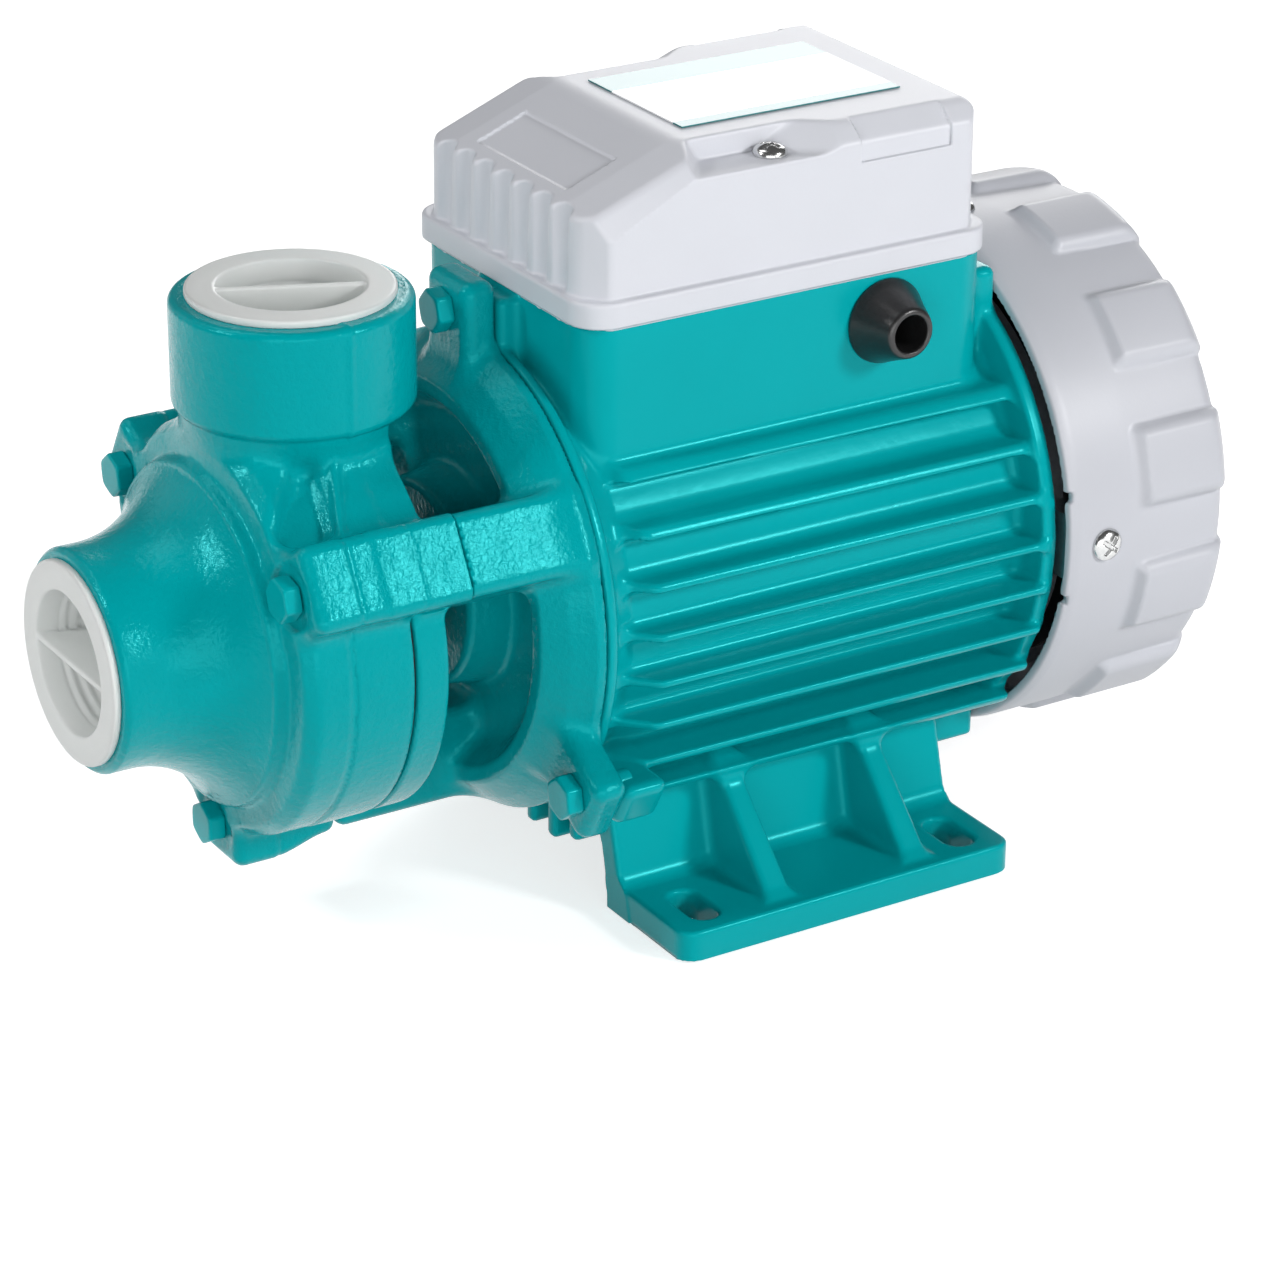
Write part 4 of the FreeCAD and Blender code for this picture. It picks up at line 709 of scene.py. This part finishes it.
def cowl_field(x, y, z):
    """The fan cover: skin, raised panels and rear grille."""
    zz = z - SHAFT_Z
    radius = shaft_radius(x, z)
    angle = np.degrees(np.arctan2(zz, x))
    body = COWL_PROFILE(y, radius)
    # twelve raised panels round the skin
    part = np.abs((angle + 360.0) % 30.0 - 15.0)
    across = (part - 8.9) * (math.pi / 180.0) * 56.0
    lean = 0.7 * np.clip(radius - 55.4, 0, 2)
    body = smin(body, smax(PANEL_PROFILE(y, radius), across + lean, 1.6), 0.7)
    # grille
    openings = None
    for row in range(-5, 6):
        half = math.sqrt(40.0 ** 2 - (row * 7) ** 2)
        slot = length(np.maximum(np.abs(x) - half + 1.7, 0), zz - row * 7) - 1.7
        openings = slot if openings is None else np.minimum(openings, slot)
    openings = np.maximum(np.maximum(openings, 91.0 - y), 3.0 - np.abs(x))
    body = smax(body, -openings, 0.5)
    # four small notches in the front rim
    for notch in (12, -12, 168, -168):
        out, side = polar(x, z, notch)
        body = smax(body, -rbox(out, side, y, (50, -1.0, 50), (60, 1.0, 56.3), 0.4), 0.4)
    return body


# ---------------------------------------------------------------- terminal box lid

def lid_field(x, y, z):
    """The lid of the terminal box."""
    near = np.abs(x)
    rim = smax(smax(rbox(x, y, z, (-34.7, -46.7, 100), (34.7, 48.8, 170), 7.5), z - 130.2, 0.9), 124.95 - z, 0.4)
    front_wall = -45.4 - y + (z - 130.0) * 0.02
    back_wall = y - 47.2 + (z - 130.0) * 0.035
    # the side walls end in a steep facet along the front slope and in a bevel along the plateau
    edge = 142.1 + 0.508 * (y + 40.1)
    facet_height = np.maximum(155.1 + 0.389 * (y + 20.0) - edge, 1.0)
    facet = near - 33.2 + 2.7 * np.clip((z - edge) / facet_height, 0, 1.5)
    bevel = (z - LID_TOP) * 0.778 + (near - 28.8) * 0.63
    side = smax(facet, bevel, 0.7)
    corner_front = (near - 33.2) * 0.628 - (y + 40.4) * 0.779
    corner_back = (near - 33.2) * 0.66 + (y - 42.6) * 0.75
    crease = 0.093 * np.maximum(near - 21.5, 0)
    roof_front = (z - LID_TOP) * 0.932 - (y + 20.0) * 0.362 + crease
    roof_back = (z - LID_TOP) * 0.6 + (y - 44.0) * 0.8
    roof = smax(smax(roof_front, z - LID_TOP + 0.1, 0.9), roof_back, 0.9)
    upper = smax(smax(front_wall, corner_front, 1.5), smax(back_wall, corner_back, 2.5), 0.5)
    upper = smax(smax(upper, side, 0.8), roof, 1.1)
    # shallow recess high in each side wall
    recess = np.maximum(np.maximum(slab(y, 16.6, 37.8), 148.2 - z), -0.75 - side)
    upper = smax(upper, -recess, 0.35)
    # bare recess on the front slope
    plate = rbox(x, y, roof_front, (-17.0, -40.6, -0.5), (17.0, -29.6, 3), 0.2)
    upper = smax(upper, -plate, 0.35)
    # seven flutes down the front
    for index in range(7):
        centre = (index - 3) * FLUTE_PITCH
        upper = smax(upper, -cone_capsule(x, y, z, (centre, -47.6, 127.0), (centre, -46.0, 146.2), 3.1, 3.1), 0.5)
    body = smin(rim, upper, 0.6)
    # screw pockets, open to the sides
    rise = z - POCKET_FLOOR
    pocket = smax(-rise, (24.2 - near) * 0.98 - rise * 0.12, 0.6)
    pocket = smax(pocket, ((near - 33.0) * -0.557 - (y + 21.6) * 0.831 - rise * 0.55) * 0.88, 0.8)
    pocket = smax(pocket, ((near - 26.5) * -0.798 + y * 0.603 - rise * 1.39) * 0.584, 0.8)
    body = smax(body, -pocket, 0.6)
    hole = rod(near - LID_SCREW_X, y - LID_SCREW_Y, z, 2.0, 120, 155, 0.1)
    body = np.maximum(body, -hole)
    inner = np.maximum(rbox(x, y, z, (-30.4, -42.0, 90), (30.4, 44.6, 190), 5.0), roof + 2.6)
    inner = np.maximum(np.maximum(inner, side + 2.4), 2.4 - pocket)
    body = np.maximum(body, -inner)
    pillars = np.maximum(rod(near - LID_SCREW_X, y - LID_SCREW_Y, z, 5.2, 124.95, 150.6, 0.4), near - 32.2)
    body = np.minimum(body, np.maximum(pillars, -hole))
    return np.maximum(body, z - LID_TOP + 0.05)


# ---------------------------------------------------------------- small pieces

def hex_head(name, centre, y_face, turn=0.0):
    """A chamfered hex bolt head looking towards -Y, with its shank."""
    def field(x, y, z):
        u, v = x - centre[0], z - centre[1]
        c, s = math.cos(turn), math.sin(turn)
        u, v = u * c + v * s, v * c - u * s
        flats = None
        for k in range(3):
            a = math.radians(60 * k)
            side = np.abs(u * math.cos(a) + v * math.sin(a)) - 4.0
            flats = side if flats is None else smax(flats, side, 0.5)
        r = length(u, v)
        crown = (r - 4.35) * 0.5 - (y - y_face) * 0.866
        head = smax(smax(flats, crown, 0.5), smax(y_face - y, y - y_face - 3.6, 0.3), 0.5)
        shank = rod(u, v, y, 2.5, y_face + 3.0, y_face + 16.0, 0.3)
        return np.minimum(head, shank)
    return field


def pan_head(u, v, t, r=3.6, height=2.1):
    """A cross-recessed pan head; t runs outward from the seat."""
    dome = length(u, v, t + 3.2) - (height + 3.2)
    head = smax(smax(dome, length(u, v) - r, 0.8), -t, 0.3)
    slot_a = rbox(u, v, t, (-2.1, -0.42, height - 1.3), (2.1, 0.42, height + 2), 0.12)
    slot_b = rbox(v, u, t, (-2.1, -0.42, height - 1.3), (2.1, 0.42, height + 2), 0.12)
    return smax(head, -np.minimum(slot_a, slot_b), 0.25)


def join_objects(name, objects):
    """One piece from several."""
    mesh = bpy.data.meshes.new(name)
    bm = bmesh.new()
    for obj in objects:
        bm.from_mesh(obj.data)
        bpy.data.objects.remove(obj)
    bm.to_mesh(mesh)
    bm.free()
    mesh.polygons.foreach_set("use_smooth", np.ones(len(mesh.polygons), bool))
    return link(name, mesh)


def plug_field(x, y, z):
    """A transit plug that opens towards -Y, in its own frame: its flange sits on y = 0."""
    r = length(x, z)
    cup = PLUG_PROFILE(y, r)
    web = rbox(x, y, z, (-14.2, -1.35, -0.65), (14.2, 9.8, 0.65), 0.35)
    body = smin(cup, web, 0.8)
    threads = 0.32 * np.sin(y * 2 * math.pi / 2.3) * step01(y, 2.2, 3.4)
    return body + np.where(r < 14.6, threads * step01(r, 12.3, 13.4), 0) * 0.8


PLUG_PROFILE = Outline([(-1.6, 14.4, 0.4), (-1.6, 20.3, 0.5), (0.0, 20.3, 0.3), (0.0, 16.9), (7.6, 16.9),
                        (10.6, 15.6), (10.6, -3.0), (9.2, -3.0), (9.2, 13.2, 0.8), (2.0, 13.9)], step=0.12)


def gland_field(x, y, z):
    """The rubber cone that the mains lead goes in through."""
    u, v = y - GLAND_Y, z - GLAND_Z
    r = length(u, v)
    t = np.clip((x - 33.0) / 9.5, 0, 1)
    boot = smax((r - 9.15 + 4.1 * t ** 0.9) * 0.92, slab(x, 33.0, 42.5), 0.8)
    body = np.minimum(np.minimum(boot, rod(u, v, x, 5.9, 27.5, 35, 0.2)), rod(u, v, x, 8.0, 27.5, 30, 0.3))
    return smax(body, 3.8 - r, 0.6)


# ---------------------------------------------------------------- build

def bolt_set(name, node, r_circle, angles, y_face, body, material):
    """Hex bolts round the shaft's axis, each turned its own way."""
    pieces = []
    for index, angle in enumerate(angles):
        cx = r_circle * math.cos(math.radians(angle))
        cz = SHAFT_Z + r_circle * math.sin(math.radians(angle))
        field = hex_head(name, (cx, cz), y_face, 0.3 + index * 0.9)
        pieces.append(sculpt(f"{name}_{index}", field, (cx - 5, y_face, cz - 5), (cx + 5, y_face + 16, cz + 5),
                             0.3))
    return finish_piece(join_objects(name, pieces), node, body, material)


def build():
    """Makes every piece that is seen from outside."""
    finish_piece(sculpt("casing_shell", casing_field, (-50, -139.5, 16), (50, -67, 131.5), 0.72),
                 "pump_casing", "pump_body", CAST)
    finish_piece(sculpt("bracket_shell", bracket_field, (-60, -94.2, 15), (60, -47, 129), 0.75),
                 "pump_bracket", "pump_body", CAST)
    finish_piece(sculpt("motor_shell", housing_field, (-62, -50.3, -0.3), (62, 55.1, 125), (0.75, 0.9, 0.62)),
                 "motor_housing", "pump_body", DIE_CAST)
    finish_piece(sculpt("fan_cowl", cowl_field, (-58, 55, 7), (58, 97.2, 123.3), 0.8),
                 "fan_cover", "pump_body", COWL_PLASTIC)
    finish_piece(sculpt("terminal_lid", lid_field, (-35, -47, 124.8), (35, 49, 156.2), 0.6),
                 "terminal_cover", "pump_body", PLASTIC)
    finish_piece(sculpt("gland_boot", gland_field, (27, 13, 104), (42.8, 33.4, 124.6), 0.45),
                 "cable_gland", "pump_body", RUBBER)
    bolt_set("casing_hex_bolts", "casing_bolts", LUG_BOLT_CIRCLE, LUG_ANGLES, -114.4, "pump_body", DIE_CAST)
    bolt_set("flange_hex_bolts", "flange_bolts", EAR_BOLT_CIRCLE, EAR_ANGLES, -61.6, "pump_body", DIE_CAST)
    for node, body, place, turn in (
            ("suction_plug", "suction_plug_body", (0, -139.4, SHAFT_Z), Matrix.Identity(4)),
            ("discharge_plug", "discharge_plug_body", (0, COLLAR_Y, COLLAR_TOP),
             Matrix.Rotation(math.radians(66.5), 4, "Z") @ Matrix.Rotation(math.radians(-90), 4, "X"))):
        plug = sculpt(node + "_cup", plug_field, (-20.4, -1.7, -20.4), (20.4, 10.7, 20.4), 0.45)
        move = Matrix.Translation(Vector(place) * MM) @ turn
        plug.data.transform(move)
        finish_piece(plug, node, body, PLUG)
    # screws in the cowl
    heads = []
    for angle in (0, 90, 180, 270):
        def cowl_screw(x, y, z, angle=angle):
            out, side = polar(x, z, angle)
            along = y - COWL_SCREW_Y
            head = pan_head(side * 0.8 + along * 0.6, along * 0.8 - side * 0.6, out - 55.3)
            return np.minimum(head, rod(side, along, out, 1.6, 44.4, 55.6, 0.2))
        c, s = math.cos(math.radians(angle)), math.sin(math.radians(angle))
        a, b = 44.4, 57.6
        xs, zs = sorted((a * c, b * c)), sorted((a * s, b * s))
        heads.append(sculpt(f"cowl_screw_{angle}", cowl_screw, (xs[0] - 3.8, 60.4, SHAFT_Z + zs[0] - 3.8),
                            (xs[1] + 3.8, 68, SHAFT_Z + zs[1] + 3.8), 0.22))
    finish_piece(join_objects("cowl_cross_screws", heads), "fan_cover_screws", "pump_body", ZINC)
    heads = []
    for side in (-1, 1):
        def lid_screw(x, y, z, side=side):
            u, v = x - side * LID_SCREW_X, y - LID_SCREW_Y
            head = pan_head(u * 0.9 + v * 0.44, v * 0.9 - u * 0.44, z - POCKET_FLOOR, 3.5, 2.3)
            return np.minimum(head, rod(u, v, z, 1.9, 114.6, 151.6, 0.2))
        heads.append(sculpt(f"lid_screw_{side + 1}", lid_screw, (side * LID_SCREW_X - 4, -5.2, 114.4),
                            (side * LID_SCREW_X + 4, 2.6, 154.0), 0.24))
    finish_piece(join_objects("lid_cross_screws", heads), "cover_screws", "pump_body", ZINC)


build()

# Pieces inside the machine keep their shapes and get the finish that each is really made with.
# name: (darker shade, lighter shade, roughness, metallic, grain in mm, depth in mm)
INSIDE = {
    # turned and ground carbon steel: fine rings, a soft mirror
    "turned_steel": ("8C8D90", "A8A9AC", 0.30, 1.0, 0.5, 0.02),
    # ground bearing steel: nearly a clean mirror
    "ground_bearing_steel": ("B2B3B6", "CBCCCE", 0.14, 1.0, 0.5, 0.005),
    # oiled spring steel: dark, with a low sheen
    "oiled_spring_steel": ("3A3B3D", "56575A", 0.35, 1.0, 0.6, 0.02),
    # milled brass: warm, with cutter marks
    "milled_brass": ("AE893C", "CAA653", 0.28, 1.0, 0.8, 0.03),
    # pressed board gasket: flat and fibrous
    "gasket_board": ("15181A", "23272A", 0.80, 0.0, 0.9, 0.08),
    # lapped alumina: smooth and ivory
    "lapped_alumina": ("DAD5C8", "E4E0D6", 0.22, 0.0, 0.7, 0.01),
    # carbon graphite: dark grey, faintly metallic sheen
    "carbon_graphite": ("1E1E20", "2E2E30", 0.40, 0.0, 0.8, 0.02),
    # stacked electrical sheet: grey with a torn edge grain
    "stacked_sheet": ("4A4B4E", "68696C", 0.48, 1.0, 0.5, 0.05),
    # varnished copper wire: brown-red and glossy
    "varnished_copper": ("7A3A1C", "A4582C", 0.32, 0.6, 1.0, 0.20),
    # cast aluminium: bright, with a sand-like skin
    "cast_aluminium": ("A0A2A5", "BDBFC2", 0.42, 1.0, 1.3, 0.06),
    # black polypropylene: satin
    "black_polypropylene": ("1C1D1F", "2A2B2D", 0.48, 0.0, 0.8, 0.04),
    # white capacitor can: satin thermoplastic
    "capacitor_plastic": ("CFCFCA", "DCDCD8", 0.46, 0.0, 0.8, 0.03),
    # phenolic moulding: tan and matte
    "phenolic_moulding": ("B9AF94", "C8BFA6", 0.55, 0.0, 0.9, 0.04),
}
INSIDE = {name: worked_surface(name, *values) for name, values in INSIDE.items()}
WEARS = {
    "casing_gasket": "gasket_board", "cover_gasket": "gasket_board", "impeller": "milled_brass",
    "impeller_key": "turned_steel", "impeller_circlip": "oiled_spring_steel", "seal_seat": "lapped_alumina",
    "seal_head": "carbon_graphite", "slinger": "black_polypropylene", "stator_core": "stacked_sheet",
    "stator_windings": "varnished_copper", "rotor_shaft": "turned_steel", "rotor_core": "stacked_sheet",
    "rotor_end_rings": "cast_aluminium", "rear_end_shield": "cast_aluminium", "wave_washer": "oiled_spring_steel",
    "cooling_fan": "black_polypropylene", "fan_clip": "oiled_spring_steel", "capacitor": "capacitor_plastic",
    "capacitor_clip": "cast_aluminium", "terminal_block": "phenolic_moulding",
}
for name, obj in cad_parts.items():
    if name in ("rating_plate", "terminal_screws", "earth_screw"):
        material = LABEL if name == "rating_plate" else ZINC
    else:
        finish = WEARS.get(name, "ground_bearing_steel" if "bearing" in name else None)
        material = INSIDE.get(finish)
    if material is not None:
        obj.data.materials.clear()
        obj.data.materials.append(material)
        for polygon in obj.data.polygons:
            polygon.material_index = 0


# ---------------------------------------------------------------- studio

def painted_floor():
    """A pale matt studio floor. It lights the object as a pale floor does. The camera, reflections and the milky
    plugs see it near white, and it keeps the object's shadow."""
    material, t, place = blank_material("painted_floor")
    cloud = add(t, "ShaderNodeTexNoise", {"Vector": place, "Scale": 1.1, "Detail": 1.0})
    color = add(t, "ShaderNodeMix", {"Factor": cloud.outputs["Fac"], 6: linear("DADADA"), 7: linear("DCDCDC")},
                data_type="RGBA")
    ray = add(t, "ShaderNodeLightPath")
    seen = add(t, "ShaderNodeMath", {0: ray.outputs["Is Camera Ray"], 1: ray.outputs["Is Glossy Ray"]},
               operation="MAXIMUM")
    seen = add(t, "ShaderNodeMath", {0: seen.outputs[0], 1: ray.outputs["Is Transmission Ray"]},
               operation="MAXIMUM")
    glow = add(t, "ShaderNodeMath", {0: seen.outputs[0], 1: FLOOR_GLOW}, operation="MULTIPLY")
    surface(t, {"Base Color": color.outputs[2], "Roughness": 0.7, "Specular IOR Level": 0.0,
                "Emission Color": (1, 1, 1, 1), "Emission Strength": glow.outputs[0]})
    return material


FLOOR_GLOW = 0.72


def softbox(name, azimuth, elevation, distance, size, exposure):
    """A softbox that gives a surface facing it this share of its written colour."""
    a, e = math.radians(azimuth), math.radians(elevation)
    aim = Vector((0, -0.02, 0.07))
    out = Vector((math.sin(a) * math.cos(e), -math.cos(a) * math.cos(e), math.sin(e)))
    data = bpy.data.lights.new(name, "AREA")
    data.shape = "RECTANGLE"
    data.size, data.size_y = size
    data.energy = exposure * math.pi ** 2 * distance ** 2
    obj = link(name, data)
    obj.location = aim + out * distance
    obj.rotation_euler = (-out).to_track_quat("-Z", "Y").to_euler()


def studio():
    """The floor, the even light all round and the softboxes."""
    mesh = bpy.data.meshes.new("floor")
    r = 6.0
    mesh.from_pydata([(-r, -r, 0), (r, -r, 0), (r, r, 0), (-r, r, 0)], [], [(0, 1, 2, 3)])
    floor = link("floor", mesh)
    floor.location.z = -0.0004
    floor.data.materials.append(painted_floor())
    world = bpy.data.worlds.new("studio")
    world.use_nodes = True
    world.node_tree.nodes["Background"].inputs["Color"].default_value = (1, 1, 1, 1)
    world.node_tree.nodes["Background"].inputs["Strength"].default_value = 0.10
    bpy.context.scene.world = world
    softbox("key_softbox", 122, 28, 1.15, (0.20, 0.20), 0.44)
    softbox("side_softbox", 105, 14, 1.15, (0.50, 0.50), 0.10)
    softbox("wide_fill", 62, 8, 1.3, (1.20, 0.60), 0.47)
    softbox("left_softbox", -55, 22, 1.35, (1.00, 0.70), 0.06)
    softbox("high_softbox", -40, 62, 1.3, (0.60, 0.60), 0.15)
    softbox("small_box", -10, 34, 1.2, (0.14, 0.14), 0.25)
    softbox("rear_softbox", 225, 20, 1.5, (0.90, 0.70), 0.36)
    bpy.context.scene.view_settings.view_transform = "Standard"


CAMERA_PLACE = (708.86, -453.67, 422.65)
CAMERA_TURN = (58.122, 24.614, 0.4486)     # degrees round, up and rolled
FRAME_WIDTH = 1279
FOCAL_LENGTH = 4443.37                     # for a frame that is FRAME_WIDTH wide
SENSOR_WIDTH = 36.0


def camera():
    """A long lens from the near right and a little above."""
    azimuth, elevation, roll = (math.radians(angle) for angle in CAMERA_TURN)
    data = bpy.data.cameras.new("camera")
    data.sensor_fit = "HORIZONTAL"
    data.sensor_width = SENSOR_WIDTH
    data.lens = FOCAL_LENGTH * SENSOR_WIDTH / FRAME_WIDTH
    data.clip_start, data.clip_end = 0.05, 30
    obj = bpy.data.objects.new("camera", data)
    bpy.context.scene.collection.objects.link(obj)
    back = Vector((math.sin(azimuth) * math.cos(elevation), -math.cos(azimuth) * math.cos(elevation),
                   math.sin(elevation)))
    right = (-back).cross(Vector((0, 0, 1))).normalized()
    up = right.cross(-back)
    r = right * math.cos(roll) + up * math.sin(roll)
    u = up * math.cos(roll) - right * math.sin(roll)
    place = Matrix((r, u, back)).transposed().to_4x4()
    place.translation = Vector(CAMERA_PLACE) * MM
    obj.matrix_world = place
    bpy.context.scene.camera = obj


studio()
camera()
